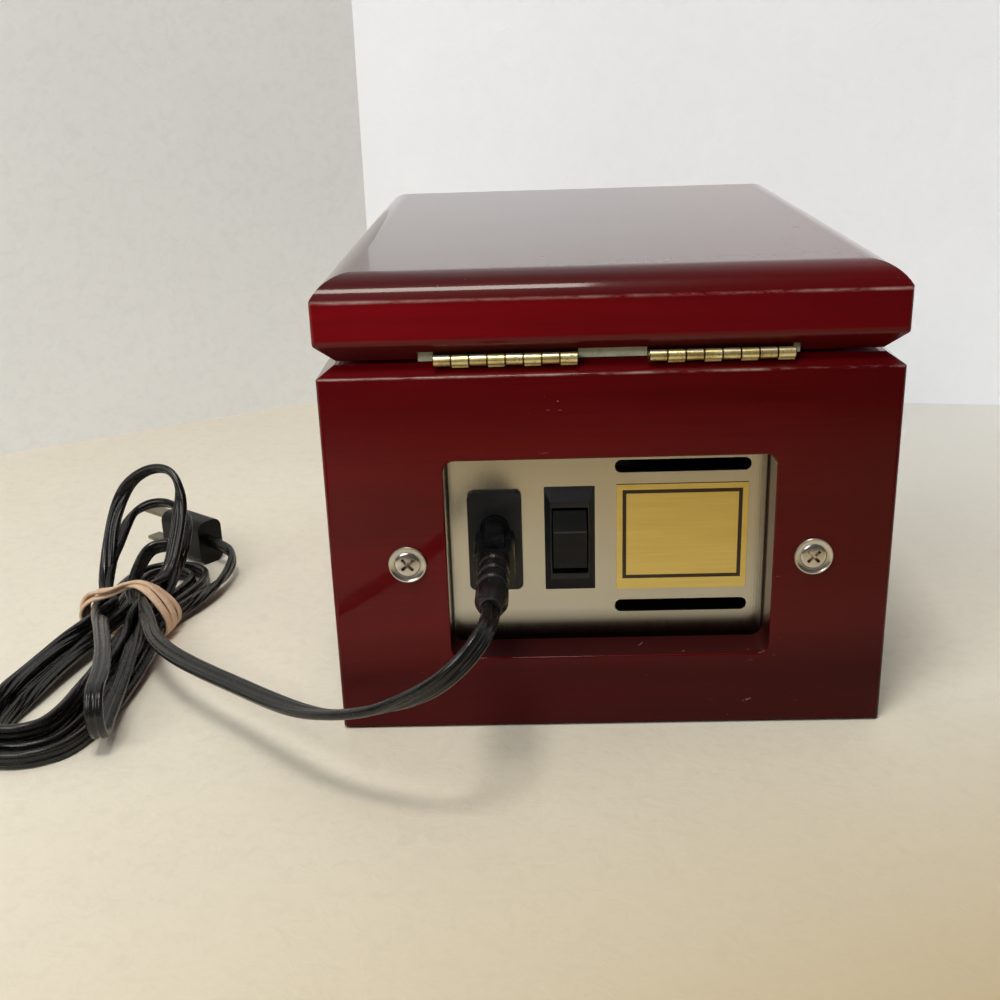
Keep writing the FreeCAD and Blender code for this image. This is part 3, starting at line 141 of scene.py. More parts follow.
def along_line(line, closed=False):
    """Distance, heading and curvature at each point of a line."""
    if closed:
        before, after = np.roll(line, 1, 0), np.roll(line, -1, 0)
    else:
        before = np.vstack([2 * line[0] - line[1], line[:-1]])
        after = np.vstack([line[1:], 2 * line[-1] - line[-2]])
    step = np.linalg.norm(line - before, axis=1)
    distance = np.cumsum(step) - step[0]
    heading = after - before
    heading /= np.linalg.norm(heading, axis=1)[:, None]
    bend = (after - 2 * line + before) / np.maximum(step, LEAST_STEP)[:, None] ** 2
    return distance, heading, bend


def flat_axes(line, spread, bias, closed, twists):
    """The thin and wide directions of a flat strip, which bends across its thin side."""
    distance, heading, bend = along_line(line, closed)
    total = distance[-1] + np.linalg.norm(line[0] - line[-1])
    apart = np.abs(distance[:, None] - distance[None, :])
    if closed:
        apart = np.minimum(apart, total - apart)
    weight = np.exp(-(apart / spread) ** 2)
    weight /= weight.sum(1)[:, None]
    pull = bend[:, :, None] * bend[:, None, :]
    pull = np.einsum("ij,jab->iab", weight, pull) + np.einsum("a,b->ab", bias, bias)[None]
    flat = np.eye(3)[None] - heading[:, :, None] * heading[:, None, :]
    thin = np.linalg.eigh(flat @ pull @ flat)[1][:, :, 2]
    for k in range(1, len(thin)):
        if thin[k] @ thin[k - 1] < 0:
            thin[k] = -thin[k]
    thin = weight @ thin
    for spot, reach, face in twists:
        apart = ((line - spot) ** 2).sum(1)
        share = np.exp(-apart / reach ** 2)[:, None]
        side = math.copysign(1, thin[int(np.argmin(apart))] @ face)
        thin = thin * (1 - share) + side * face[None] * share
    thin -= heading * (thin * heading).sum(1)[:, None]
    thin /= np.linalg.norm(thin, axis=1)[:, None]
    return thin, np.cross(heading, thin)


def strip(name, line, section, spread, bias, closed=False, twists=()):
    """A mesh whose flat section follows a line."""
    thin, wide = flat_axes(line, spread, np.array(bias, float), closed, twists)
    rings = line[:, None] + wide[:, None] * section[None, :, :1] + thin[:, None] * section[None, :, 1:]
    count, around = len(line), len(section)
    points = rings.reshape(-1, 3)
    faces = []
    for i in range(count if closed else count - 1):
        near, far = i * around, (i + 1) % count * around
        for j in range(around):
            k = (j + 1) % around
            faces.append((near + j, near + k, far + k, far + j))
    if not closed:
        faces.append(tuple(range(around)))
        faces.append(tuple(range((count - 1) * around, count * around)))
    return new_mesh(name, points, faces)


# Cord, hank and band

CORD_WIDE = 0.0056
CORD_THICK = 0.0029
# the grooves and ribs of its jacket: depth as a share of the thickness, then width or pitch
GROOVE_DEEP, GROOVE_WIDE = 0.34, 0.00050
RIB_HIGH, RIB_PITCH = 0.07, 0.00105
# how soon the ribs come in from the jacket's rounded sides
RIB_START = 1.6
# points round its section and its squareness, points along each stretch, and how its flat side turns
CORD_POINTS = 56
CORD_POWERS = (0.85, 0.55)
CORD_STEPS = 14
CORD_SPREAD = 0.011
CORD_LIE = (0, 7, 11)
# from the strain relief to the hank, in metres
CORD_ROUTE = [
    (0.0346, 0.1470, 0.0587), (0.0346, 0.1540, 0.0587), (0.0373, 0.1611, 0.0562), (0.0421, 0.1652, 0.0516),
    (0.0492, 0.1656, 0.0454), (0.0590, 0.1620, 0.0388), (0.0704, 0.1566, 0.0329), (0.0810, 0.1500, 0.0284),
    (0.0912, 0.1414, 0.0252), (0.1024, 0.1302, 0.0228), (0.1156, 0.1170, 0.0209), (0.1294, 0.1042, 0.0195),
    (0.1424, 0.0910, 0.0183), (0.1530, 0.0760, 0.0169), (0.1596, 0.0605, 0.0156),
]
HANK_AT = Vector((0.1745, 0.036, 0))
HANK_TURN = math.radians(8)
# across, along, up at the waist's first run and round the tall loop, in millimetres
TALL_LOOP = [
    (-4.95, 0, 15.2), (-5.2, -9, 15.2), (-8, -19.8, 15.6), (-9.4, -29, 30), (-9.2, -37.4, 42.5),
    (-4.0, -42.2, 50.6), (5.4, -42.6, 50.8), (14.0, -39.4, 45.4), (17.8, -33, 35), (18.4, -25.5, 23),
    (16.8, -15, 11.5), (12.4, -8, 9.75), (12.4, 0, 9.75),
]
# the strand that crosses over the near lobes and folds under itself
FOLD = [
    (8, 10, 12.4), (0, 22, 16), (-9.5, 39, 19.2), (-18, 55, 21), (-24, 69, 21.6), (-25.8, 74.9, 21.6),
    (-27.7, 81.2, 21.6), (-29, 85.7, 16.9), (-29, 85.7, 10.3), (-27.7, 81.2, 5.6), (-25.8, 74.9, 5.6),
    (-24, 69, 5.6), (-19, 48, 6.6), (-12, 22, 9), (-7.4, 0, 9.75),
]
# first side, second side, centre along, height, then the next waist run's side and height
LOBES = [
    (-13.5, 13.5, -38, 7.45, 7.4, 9.75),
    (16.6, -11, 72, 7.45, -2.5, 9.75), (-8, 8, -38, 7.45, 2.5, 7.3),
    (11, -11, 72, 3.0, -2.5, 4.8), (-8, 13.5, -38, 3.0, 7.4, 4.8),
    (16.6, -16.6, 72, 3.0, -7.4, 4.8), (-13.5, 19, -38, 3.0, 12.4, 4.8),
    (22.2, -22.2, 72, 3.0, -12.4, 4.8),
]
# the lobes that lean up: degrees, straight of each limb, then shift along, up and across
LEANING = {0: (38, 10, 8, 12, 5), 2: (22, 3, 6, 6.5, 2)}
LYING = (0, 0, 0, 0, 0)
# where a limb bends on its way out: shares of the way across and along, and of a leaning lobe's slope
LIMB_ACROSS, LIMB_ALONG, KNEE_SHARE = 0.72, 0.45, 0.8
# the corners round a lobe's end and how far out they stand
END_ANGLES = [math.radians(22.5 + 45 * k) for k in range(4)]
END_COSINE = math.cos(math.pi / 8)
# from the last waist run to the plug
PLUG_RUN = [(-17, -18, 4.7), (-21, -41, 4.7), (-20, -58, 8.5), (-9, -65.8, 9.5), (-5.2, -68, 9.5)]


def hank_place(across, along, up):
    turn = (math.cos(HANK_TURN), math.sin(HANK_TURN))
    return (HANK_AT.x + (across * turn[0] + along * turn[1]) * MM,
            HANK_AT.y + (along * turn[0] - across * turn[1]) * MM, up * MM)


def lobe_points(first, second, centre, height, end_side, end_height, start_side, start_height, leaning):
    """Out from one waist run, round a lobe and back to the next."""
    lean, limb, back, lift, aside = leaning
    lean = math.radians(lean)
    middle, reach = (first + second) / 2 + aside, (first - second) / 2
    foot, out = centre + back, math.copysign(1, centre)
    bend = centre * LIMB_ALONG
    points = [(start_side + LIMB_ACROSS * (first - start_side), bend, (start_height + height) / 2)]
    if lean:
        knee = foot + limb / 2 - out * lift / math.sin(lean) * math.cos(lean) * KNEE_SHARE
        points = [(start_side, knee * LIMB_ALONG, start_height), (first + aside / 2, knee, start_height)]
    for angle in END_ANGLES:
        along = limb + abs(reach) * math.sin(angle) / END_COSINE
        points.append((middle + reach * math.cos(angle) / END_COSINE,
                       foot + out * along * math.cos(lean), height + lift + along * math.sin(lean)))
    if lean:
        points += [(second + aside / 2, knee, end_height), (end_side, knee * LIMB_ALONG, end_height)]
    else:
        points.append((end_side + LIMB_ACROSS * (second - end_side), bend, (end_height + height) / 2))
    return points + [(end_side, 0, end_height)]


def hank_points():
    points = TALL_LOOP + FOLD
    for k, lobe in enumerate(LOBES):
        side, _, height = points[-1]
        points += lobe_points(*lobe, side, height, LEANING.get(k, LYING))
    return points + PLUG_RUN


def squared_round(angle, wide, thick, powers):
    """A point on a flattened round, which is squarer the lower its two powers are."""
    c, s = math.cos(angle), math.sin(angle)
    return (wide / 2 * math.copysign(abs(c) ** powers[0], c),
            thick / 2 * math.copysign(abs(s) ** powers[1], s))


def cord_section():
    """A flat two-core jacket with a groove down each face and fine ribs."""
    points = []
    for k in range(CORD_POINTS):
        angle = 2 * math.pi * (k + 0.5) / CORD_POINTS
        x, y = squared_round(angle, CORD_WIDE, CORD_THICK, CORD_POWERS)
        groove = 1 - GROOVE_DEEP * math.exp(-(x / GROOVE_WIDE) ** 2)
        on_face = min(1.0, abs(math.sin(angle)) * RIB_START)
        ribs = 1 + RIB_HIGH * math.cos(2 * math.pi * x / RIB_PITCH) * on_face
        points.append((x, y * groove * ribs))
    return np.array(points)


# where the tall loop's limbs turn a flat face to one side: across, along, up
TWISTS = [(-8.4, -30, 31), (18.2, -30, 31)]
TWIST_FACE = (0, 0.848, 0.53)
TWIST_REACH = 0.015


def hank_turned(direction):
    return Vector(hank_place(*direction)) - Vector(hank_place(0, 0, 0))


def make_cord():
    places = CORD_ROUTE + [hank_place(*p) for p in hank_points()]
    line = smooth_line(places, steps=CORD_STEPS)
    face = np.array(hank_turned(TWIST_FACE).normalized())
    twists = [(np.array(hank_place(*spot)), TWIST_REACH, face) for spot in TWISTS]
    mesh = strip("mains_cord", line, cord_section(), CORD_SPREAD, CORD_LIE, twists=twists)
    cord = new_object("mains_cord", mesh, "case")
    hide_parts("power_cord", "cord_hank")
    return cord, line


BAND_WIDE = 0.0033
BAND_THICK = 0.0015
BAND_POINTS = 16
BAND_POWERS = (0.7, 0.8)
BAND_STEPS = 12
BAND_SPREAD = 0.006
# across and up round the waist, in millimetres
BAND_RING = [
    (-16.2, 2.2), (-17.6, 7.5), (-14.2, 13.6), (-8.2, 19.3), (-1.6, 19.3), (6, 15.6),
    (13.6, 14.6), (17.6, 9.8), (16.6, 2.2), (9, 1.0), (0, 1.0), (-9, 1.0),
]
# a loop rides on those below it from this height, fully after this rise, and is wider by this share
RIDE_FROM, RIDE_RISE, RIDE_WIDER = 2, 10, 0.02
# each loop's places along the hank, and how far it rides on the loops below
BAND_LOOPS = [
    ([-5.4, -5.4, -4.2, -2.4, -0.6, 1.6, 3.6, 4.6, 4.2, 2.2, -1.0, -4.0], 0.0),
    ([4.6, 5.2, 4.8, 3.0, 0.8, -1.4, -2.2, -1.6, -0.6, 0.8, 2.4, 3.8], 1.0),
    ([0.6, 1.0, 0.6, 0.2, 1.4, 3.6, 1.2, 1.6, 1.8, 0.6, 0.4, 0.4], 1.9),
]


def make_band():
    angles = [2 * math.pi * k / BAND_POINTS for k in range(BAND_POINTS)]
    section = np.array([squared_round(angle, BAND_WIDE, BAND_THICK, BAND_POWERS) for angle in angles])
    points, faces = [], []
    for offsets, lift in BAND_LOOPS:
        ring = []
        for (across, up), along in zip(BAND_RING, offsets):
            out = lift * max(0.0, min(1.0, (up - RIDE_FROM) / RIDE_RISE))
            ring.append(hank_place(across * (1 + RIDE_WIDER * lift), along, up + out))
        line = smooth_line(ring, closed=True, steps=BAND_STEPS)
        loop = strip("loop", line, section, BAND_SPREAD, (0, 0, 0), closed=True)
        start = len(points)
        points += [v.co.copy() for v in loop.vertices]
        faces += [tuple(start + i for i in face.vertices) for face in loop.polygons]
        bpy.data.meshes.remove(loop)
    band = new_object("tie_band", new_mesh("tie_band", points, faces), "case")
    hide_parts("hank_band")
    return band


mains_cord, cord_line = make_cord()
tie_band = make_band()

# Pieces with eased edges

SEAM_REACH = 1e-6
# degrees between faces that are one flat, and between those that meet in a sharp edge
FLAT_ANGLE, SHARP_ANGLE = 1, 32


def tidy_tool(node):
    """A node's mesh with its seams joined and its flats in one face each."""
    tool = bmesh.new()
    tool.from_mesh(node.data)
    bmesh.ops.remove_doubles(tool, verts=tool.verts, dist=SEAM_REACH)
    bmesh.ops.dissolve_limit(tool, angle_limit=math.radians(FLAT_ANGLE), verts=tool.verts, edges=tool.edges)
    return tool


def meets_at(edge, angle):
    return len(edge.link_faces) == 2 and edge.calc_face_angle() > math.radians(angle)


def eased(name, width, angle=40, steps=2, inside=None):
    """A node's form with its edges eased, all of them or those inside a box."""
    tool = tidy_tool(NODES[name])
    edges = [edge for edge in tool.edges if meets_at(edge, angle)]
    if inside:
        edges = [edge for edge in edges if all(low <= c <= high for v in edge.verts
                                               for low, c, high in zip(inside[0], v.co, inside[1]))]
    bmesh.ops.bevel(tool, geom=edges, offset=width, offset_type="OFFSET", segments=steps, profile=0.5,
                    affect="EDGES", clamp_overlap=True)
    return form_from(tool, name)


def form_from(tool, name):
    """A piece in a node's place, smooth but for its sharp edges."""
    for face in tool.faces:
        face.smooth = True
    for edge in tool.edges:
        edge.smooth = not meets_at(edge, SHARP_ANGLE)
    mesh = bpy.data.meshes.new(f"{name}_form")
    tool.to_mesh(mesh)
    tool.free()
    piece = new_object(f"{name}_form", mesh, BODIES[name])
    even = piece.modifiers.new("even_shading", "WEIGHTED_NORMAL")
    even.keep_sharp = True
    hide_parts(name)
    return piece


# Cup washers and cross-head screws: radius and rise above the back wall, in millimetres

WASHER_RADIUS = 5.85
WASHER_PROFILE = [
    (3.95, 0.02), (5.55, 0.02), (5.80, 0.20), (WASHER_RADIUS, 0.60), (5.65, 0.90), (5.30, 0.92),
    (4.95, 0.66), (4.40, 0.48), (3.95, 0.44),
]
SHANK_RADIUS = 1.75
HEAD_PROFILE = [
    (0, 0.98), (1.8, 0.94), (3.0, 0.80), (3.6, 0.62), (3.86, 0.36), (3.88, 0.02), (SHANK_RADIUS, 0.02),
]
CROSS_SIZE = (4.9, 3.4, 0.95)
CROSS_ANGLES = (43, 133)
TURN_STEPS = 48


def turned(tool, profile, x, y, z):
    """Turn a profile about an axis along Y."""
    rings = []
    for radius, rise in profile:
        angles = [2 * math.pi * k / TURN_STEPS for k in range(TURN_STEPS if radius else 1)]
        reach, back = radius * MM, y + rise * MM
        places = [(x + reach * math.cos(a), back, z + reach * math.sin(a)) for a in angles]
        rings.append([tool.verts.new(place) for place in places])
    pairs = list(zip(rings, rings[1:]))
    if profile[0][0]:
        pairs.append((rings[-1], rings[0]))
    for first, second in pairs:
        for k in range(TURN_STEPS):
            corners = ((first, k), (first, k + 1), (second, k + 1), (second, k))
            tool.faces.new(dict.fromkeys(ring[j % len(ring)] for ring, j in corners))
    bmesh.ops.recalc_face_normals(tool, faces=tool.faces)


def cross_cut(tool, spots):
    """Cut a cross into each screw head."""
    blades = bmesh.new()
    size = Matrix.Diagonal([c * MM for c in CROSS_SIZE] + [1])
    for x, y, z in spots:
        for angle in CROSS_ANGLES:
            place = Matrix.Translation((x, y + MM, z)) @ Matrix.Rotation(math.radians(angle), 4, "Y")
            bmesh.ops.create_cube(blades, size=1, matrix=place @ size)
    pair = []
    for label, form in (("blank", tool), ("blades", blades)):
        mesh = bpy.data.meshes.new(label)
        form.to_mesh(mesh)
        form.free()
        pair.append(bpy.data.objects.new(label, mesh))
        scene.collection.objects.link(pair[-1])
    slots = pair[0].modifiers.new("slots", "BOOLEAN")
    slots.object = pair[1]
    slots.operation = "DIFFERENCE"
    slots.solver = "EXACT"
    slots.use_self = True
    whole = with_modifiers(pair[0])
    for obj in pair:
        bpy.data.objects.remove(obj)
    done = bmesh.new()
    done.from_mesh(whole)
    bpy.data.meshes.remove(whole)
    return done


def rear_fixings():
    low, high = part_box("finishing_washers")
    across, height = high.x - WASHER_RADIUS * MM, (low.z + high.z) / 2
    spots = [(across, low.y, height), (-across, low.y, height)]
    end = (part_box("rear_screws")[0].y - low.y) / MM
    washers, screws = bmesh.new(), bmesh.new()
    for spot in spots:
        turned(washers, WASHER_PROFILE, *spot)
        turned(screws, HEAD_PROFILE + [(SHANK_RADIUS, end), (0, end)], *spot)
    return {"finishing_washers": form_from(washers, "finishing_washers"),
            "rear_screws": form_from(cross_cut(screws, spots), "rear_screws")}


SIDES = ("left", "right")
# how wide an edge is eased, in millimetres, and from what angle between its faces
EASED_EDGES = {f"hinge_{side}_{leaf}_leaf": (0.22, 50) for leaf in ("base", "lid") for side in SIDES}
EASED_EDGES.update({
    "power_inlet": (0.45, 50),
    "switch_housing": (0.30, 25),
    "switch_rocker": (0.30, 20),
    "label_plate": (0.08, 50),
    "cord_connector": (0.60, 40),
    "cord_strain_relief": (0.50, 30),
    "mains_plug": (0.80, 50),
    "plug_blades": (0.25, 50),
    "chassis_plate": (0.15, 50),
})
# the window in the back wall, and a box just round its outer edge
BACK_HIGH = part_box("base_back_wall")[1]
WINDOW_HALF, WINDOW_FOOT, WINDOW_HEAD = 0.0490, 0.0240, 0.0888
ROUND_WINDOW = 0.5 * MM
WINDOW_BOX = (
    (-WINDOW_HALF - ROUND_WINDOW, BACK_HIGH.y - ROUND_WINDOW, WINDOW_FOOT - ROUND_WINDOW),
    (WINDOW_HALF + ROUND_WINDOW, BACK_HIGH.y + ROUND_WINDOW, WINDOW_HEAD + ROUND_WINDOW),
)

EASED = {name: eased(name, width * MM, angle) for name, (width, angle) in EASED_EDGES.items()}
EASED.update(rear_fixings())
EASED["base_back_wall"] = eased("base_back_wall", 0.6 * MM, angle=60, steps=3, inside=WINDOW_BOX)

# Soft pieces


def settle(piece, frames=20, pressure=4.0, cap=0.0016):
    """Swell a closed piece with cloth and keep how far each point moves within a cap."""
    cloth = piece.modifiers.new("swell", "CLOTH")
    cloth.settings.use_pressure = True
    cloth.settings.uniform_pressure_force = pressure
    cloth.settings.effector_weights.gravity = 0
    cloth.point_cache.frame_start, cloth.point_cache.frame_end = 1, frames
    for step in range(1, frames + 1):
        scene.frame_set(step)
    swollen = piece.evaluated_get(bpy.context.evaluated_depsgraph_get())
    for point, moved in zip(piece.data.vertices, [v.co.copy() for v in swollen.data.vertices]):
        shift = moved - point.co
        point.co += shift * min(1.0, cap / max(shift.length, 1e-9))
    piece.modifiers.remove(cloth)
    scene.frame_set(1)


def puffed(name, node, voxel, shrink):
    """A padded form from a node: remeshed evenly, swollen, then smoothed once."""
    mesh = NODES[node].data.copy()
    middle = sum((v.co for v in mesh.vertices), Vector()) / len(mesh.vertices)
    for point in mesh.vertices:
        point.co = middle + (point.co - middle) * shrink
    rough = bpy.data.objects.new(name, mesh)
    scene.collection.objects.link(rough)
    even = rough.modifiers.new("even", "REMESH")
    even.mode, even.voxel_size = "VOXEL", voxel
    whole = with_modifiers(rough)
    bpy.data.objects.remove(rough)
    whole.shade_smooth()
    whole.materials.clear()
    piece = new_object(name, whole, BODIES[node])
    settle(piece)
    smooth = piece.modifiers.new("smooth", "SUBSURF")
    smooth.levels = smooth.render_levels = 1
    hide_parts(node)
    return piece


# the lining's grid, the tuck at its rim, its swell, and its stitched lines as shares of its half size
LINING_GRID = (72, 96)
TUCK_WIDE, TUCK_DEEP = 0.004, 0.0012
LINING_SWELL = 0.0016
SEAMS_ACROSS, SEAMS_ALONG = 0.62, 0.70
SEAM_WIDE, SEAM_DEEP = 0.0022, 0.0013


def lining_pad():
    """The lid's lining: a soft panel, tucked in at its edges, that dips at four stitched lines."""
    low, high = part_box("lid_lining")
    half = (high - low) / 2
    middle = (high + low) / 2
    across, along = LINING_GRID
    points, faces = [], []
    for upper in (False, True):
        for j in range(along + 1):
            for i in range(across + 1):
                u, v = 2 * i / across - 1, 2 * j / along - 1
                rim = min(1 - abs(u), (1 - abs(v)) * half.y / half.x) * half.x
                tuck = max(0.0, 1 - rim / TUCK_WIDE) ** 2
                swell = LINING_SWELL * (1 - u ** 4) * (1 - v ** 4)
                seam = max(math.exp(-((abs(u) - SEAMS_ACROSS) * half.x / SEAM_WIDE) ** 2),
                           math.exp(-((abs(v) - SEAMS_ALONG) * half.y / SEAM_WIDE) ** 2))
                drop = low.z - swell + SEAM_DEEP * seam * (1 - tuck) + TUCK_DEEP * tuck
                points.append((middle.x + u * half.x, middle.y + v * half.y, high.z if upper else drop))
    row = across + 1
    sheet = row * (along + 1)
    for j in range(along):
        for i in range(across):
            a = j * row + i
            faces.append((a, a + 1, a + row + 1, a + row))
            faces.append((a + sheet, a + sheet + row, a + sheet + row + 1, a + sheet + 1))
    rim = list(range(row)) + [j * row + across for j in range(1, along + 1)]
    rim += [along * row + i for i in range(across - 1, -1, -1)] + [j * row for j in range(along - 1, 0, -1)]
    faces += [(a, b, b + sheet, a + sheet) for a, b in zip(rim, rim[1:] + rim[:1])]
    pad = new_object("lining_pad", new_mesh("lining_pad", points, faces), BODIES["lid_lining"])
    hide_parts("lid_lining")
    return pad


cushion = puffed("cushion_pad", "watch_cushion", voxel=4 * MM, shrink=0.965)
foam = eased("cup_insert", 1.2 * MM, angle=40, steps=3)
lining = lining_pad()

# Material helpers


class Surface:
    """A procedural material around one principled shader."""

    def __init__(self, name, rough, metallic=0.0, **sockets):
        self.material = bpy.data.materials.new(name)
        self.material.use_nodes = True
        self.tree = self.material.node_tree
        self.shader = self.tree.nodes["Principled BSDF"]
        self.set("Roughness", rough)
        self.set("Metallic", metallic)
        for label, value in sockets.items():
            self.set(label.replace("_", " "), value)
        self.place = self.add("ShaderNodeTexCoord").outputs["Object"]

    def set(self, label, value):
        socket = self.shader.inputs[label]
        if isinstance(value, bpy.types.NodeSocket):
            self.tree.links.new(value, socket)
        else:
            socket.default_value = value

    def add(self, kind, inputs=None, **settings):
        node = self.tree.nodes.new(kind)
        for label, value in settings.items():
            setattr(node, label, value)
        for label, value in (inputs or {}).items():
            if isinstance(value, bpy.types.NodeSocket):
                self.tree.links.new(value, node.inputs[label])
            else:
                node.inputs[label].default_value = value
        return node

    def noise(self, scale, stretch=(1, 1, 1), detail=4, rough=0.55, twist=0.0, shift=(0, 0, 0)):
        spot = self.add("ShaderNodeMapping", {"Vector": self.place, "Scale": stretch, "Location": shift})
        return self.add("ShaderNodeTexNoise", {"Vector": spot.outputs[0], "Scale": scale, "Detail": detail,
                                               "Roughness": rough, "Distortion": twist}).outputs["Fac"]

    def ramp(self, value, *stops):
        node = self.add("ShaderNodeValToRGB", {"Fac": value})
        marks = node.color_ramp.elements
        while len(marks) < len(stops):
            marks.new(0.5)
        for mark, (place, colour) in zip(marks, stops):
            mark.position = place
            mark.color = (*colour, 1) if isinstance(colour, tuple) else (colour, colour, colour, 1)
        return node.outputs["Color"]

    def math(self, kind, first, second=0.0, third=0.0):
        return self.add("ShaderNodeMath", {0: first, 1: second, 2: third}, operation=kind).outputs[0]

    def mix(self, share, first, second):
        node = self.add("ShaderNodeMix", data_type="RGBA")
        for k, value in ((0, share), (6, first), (7, second)):
            if isinstance(value, bpy.types.NodeSocket):
                self.tree.links.new(value, node.inputs[k])
            else:
                node.inputs[k].default_value = (*value, 1) if isinstance(value, tuple) else value
        return node.outputs[2]

    def bump(self, height, strength, distance):
        self.set("Normal", self.add("ShaderNodeBump", {"Height": height, "Strength": strength,
                                                       "Distance": distance}).outputs["Normal"])

    def axis(self, which):
        return self.add("ShaderNodeSeparateXYZ", {"Vector": self.place}).outputs[which]

    def span(self, value, start, length):
        """How far a value lies along a span: none at its start and one at its end."""
        return self.math("DIVIDE", self.math("SUBTRACT", value, start), length)

    def near(self, value, target, width):
        """One close to a target and nothing beyond a width from it."""
        off = self.math("ABSOLUTE", self.math("SUBTRACT", value, target))
        return self.math("SUBTRACT", 1.0, self.math("MINIMUM", self.math("DIVIDE", off, width), 1.0))


# Lacquered wood

# heights of the lid's foot, ridge and top, of the base's bevel, and of the base's foot, which is dulled and
# carries painted shade
LID_LOW, LID_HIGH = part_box("lid_shell")
LID_FOOT, LID_RIDGE, LID_TOP = LID_LOW.z + 3.5 * MM, LID_HIGH.z - 7 * MM, LID_HIGH.z
BASE_BEVEL = BACK_HIGH.z - 3.3 * MM
DULL_SHADED_FOOT = 0.034
# how the painted shade at the lid's foot fades up and reaches down, and half the widths of the worn lines,
# which are partly painted highlights
FOOT_FADE, FOOT_REACH = 4 * MM, 3 * MM
RIDGE_WEAR_HIGHLIGHT, BEVEL_WEAR_HIGHLIGHT = 0.60 * MM, 0.45 * MM
# the window's reveal lies deeper than this in the back wall, and lower
REVEAL_DEPTH = BACK_HIGH.y - 0.8 * MM
REVEAL_TOP = 0.100
BOX_WIDE = 0.170
# dark, middle, light and deep shades, which a wall's tone scales
WOOD_SHADES = [
    (0.078, 0.0006, 0.0020), (0.104, 0.0009, 0.0028), (0.132, 0.0013, 0.0036), (0.056, 0.0004, 0.0014),
]
# painted shade at the lid's foot and in the window's reveal, then the pale colour of worn edges that is
# partly a painted highlight
LID_FOOT_PAINTED_SHADE = (0.040, 0.0080, 0.0060)
REVEAL_PAINTED_SHADE = (0.046, 0.0075, 0.0075)
BARE_EDGE_AND_HIGHLIGHT = (0.46, 0.30, 0.28)


def scaled(colour, share):
    return tuple(share * c for c in colour)


def stretched(grain, along, across):
    """Scales of a noise on the three axes, one of which the grain follows."""
    return [along if axis == grain else across for axis in "XYZ"]


def lacquer_colour(wood, fine, dull, grain, tone, reveal):
    """Burgundy with painted shade on the lid's top and foot, towards one end, low down and in the window.
    """
    dark, middle, light, deep = [scaled(shade, tone) for shade in WOOD_SHADES]
    height, across = wood.axis("Z"), wood.axis("X")
    broad = wood.noise(1.0, stretched(grain, 6, 52), 3, 0.5, 0.9)
    cloud = wood.noise(11, detail=2)
    body = wood.ramp(broad, (0.28, dark), (0.50, middle), (0.74, light))
    body = wood.mix(wood.ramp(fine, (0.46, 0.0), (0.70, 0.55)), body, deep)
    body = wood.mix(wood.ramp(cloud, (0.38, 0.0), (0.78, 0.40)), body, light)
    # painted shade on the lid's top, which the overhead light would otherwise show red
    crown_shade = wood.span(height, LID_RIDGE, LID_TOP - LID_RIDGE)
    crown_shade = wood.ramp(crown_shade, (0.0, 0.0), (0.06, 0.72), (0.85, 1.0))
    body = wood.mix(crown_shade, body, scaled(middle, 0.26))
    # painted shade on the lid's foot, which faces down onto the dark base
    foot = wood.ramp(wood.span(height, LID_FOOT, FOOT_FADE), (0.2, 0.75), (1.0, 0.0))
    foot = wood.math("MULTIPLY", foot, wood.math("GREATER_THAN", height, LID_FOOT - FOOT_REACH))
    body = wood.mix(foot, body, LID_FOOT_PAINTED_SHADE)
    # painted shade fading in towards the -X end, where less light falls
    falloff_shade = wood.ramp(wood.math("MULTIPLY_ADD", across, 1 / BOX_WIDE, 0.5), (0.0, 0.75), (0.55, 0.0))
    body = wood.mix(falloff_shade, body, deep)
    # painted shade low on the base
    body = wood.mix(wood.math("MULTIPLY", dull, 0.60), body, scaled(deep, 0.35))
    # painted shade in the window's reveal, a recess in the back wall
    inner = wood.math("LESS_THAN", wood.axis("Y"), reveal)
    reveal_shade_mask = wood.math("MULTIPLY", inner, wood.math("LESS_THAN", height, REVEAL_TOP))
    return wood.mix(reveal_shade_mask, body, REVEAL_PAINTED_SHADE)


def lacquer_wear_and_highlight(wood, grain):
    """Broken pale lines on the lid's ridge and the base's bevel, part wear and part painted highlight, with
    a few specks and scratches.
    """
    height, across = wood.axis("Z"), wood.axis("X")
    ends = wood.math("POWER", wood.math("DIVIDE", wood.math("ABSOLUTE", across), BOX_WIDE / 2), 3.0)
    # the ridge's and the bevel's pale lines are part wear and part painted highlight, brighter towards both
    # ends
    ridge = wood.near(height, LID_RIDGE, RIDGE_WEAR_HIGHLIGHT)
    ridge = wood.math("MULTIPLY", ridge, wood.math("MULTIPLY_ADD", ends, 0.55, 0.60))
    bevel = wood.math("MULTIPLY", wood.near(height, BASE_BEVEL, BEVEL_WEAR_HIGHLIGHT), 0.85)
    patches = wood.noise(150, stretched(grain, 0.3, 1), 5, 0.75, shift=(1, 2, 5))
    broken = wood.ramp(patches, (0.42, 0.0), (0.60, 1.0))
    edges = wood.math("MULTIPLY", wood.math("MAXIMUM", ridge, bevel), broken)
    specks = wood.ramp(wood.noise(560, detail=1), (0.765, 0.0), (0.79, 1.0))
    fewer = wood.ramp(wood.noise(24, detail=2, shift=(3, 1, 2)), (0.56, 0.0), (0.66, 1.0))
    scratches = wood.noise(1.0, (90, 90, 420), 2, 0.5, 1.6, (4, 2, 7))
    scratches = wood.ramp(scratches, (0.735, 0.0), (0.75, 1.0))
    scratches = wood.math("MULTIPLY", scratches, wood.math("MULTIPLY", fewer, 0.7))
    marks = wood.math("MAXIMUM", wood.math("MULTIPLY", specks, fewer), scratches)
    return wood.math("MAXIMUM", edges, wood.math("MULTIPLY", marks, 0.55))


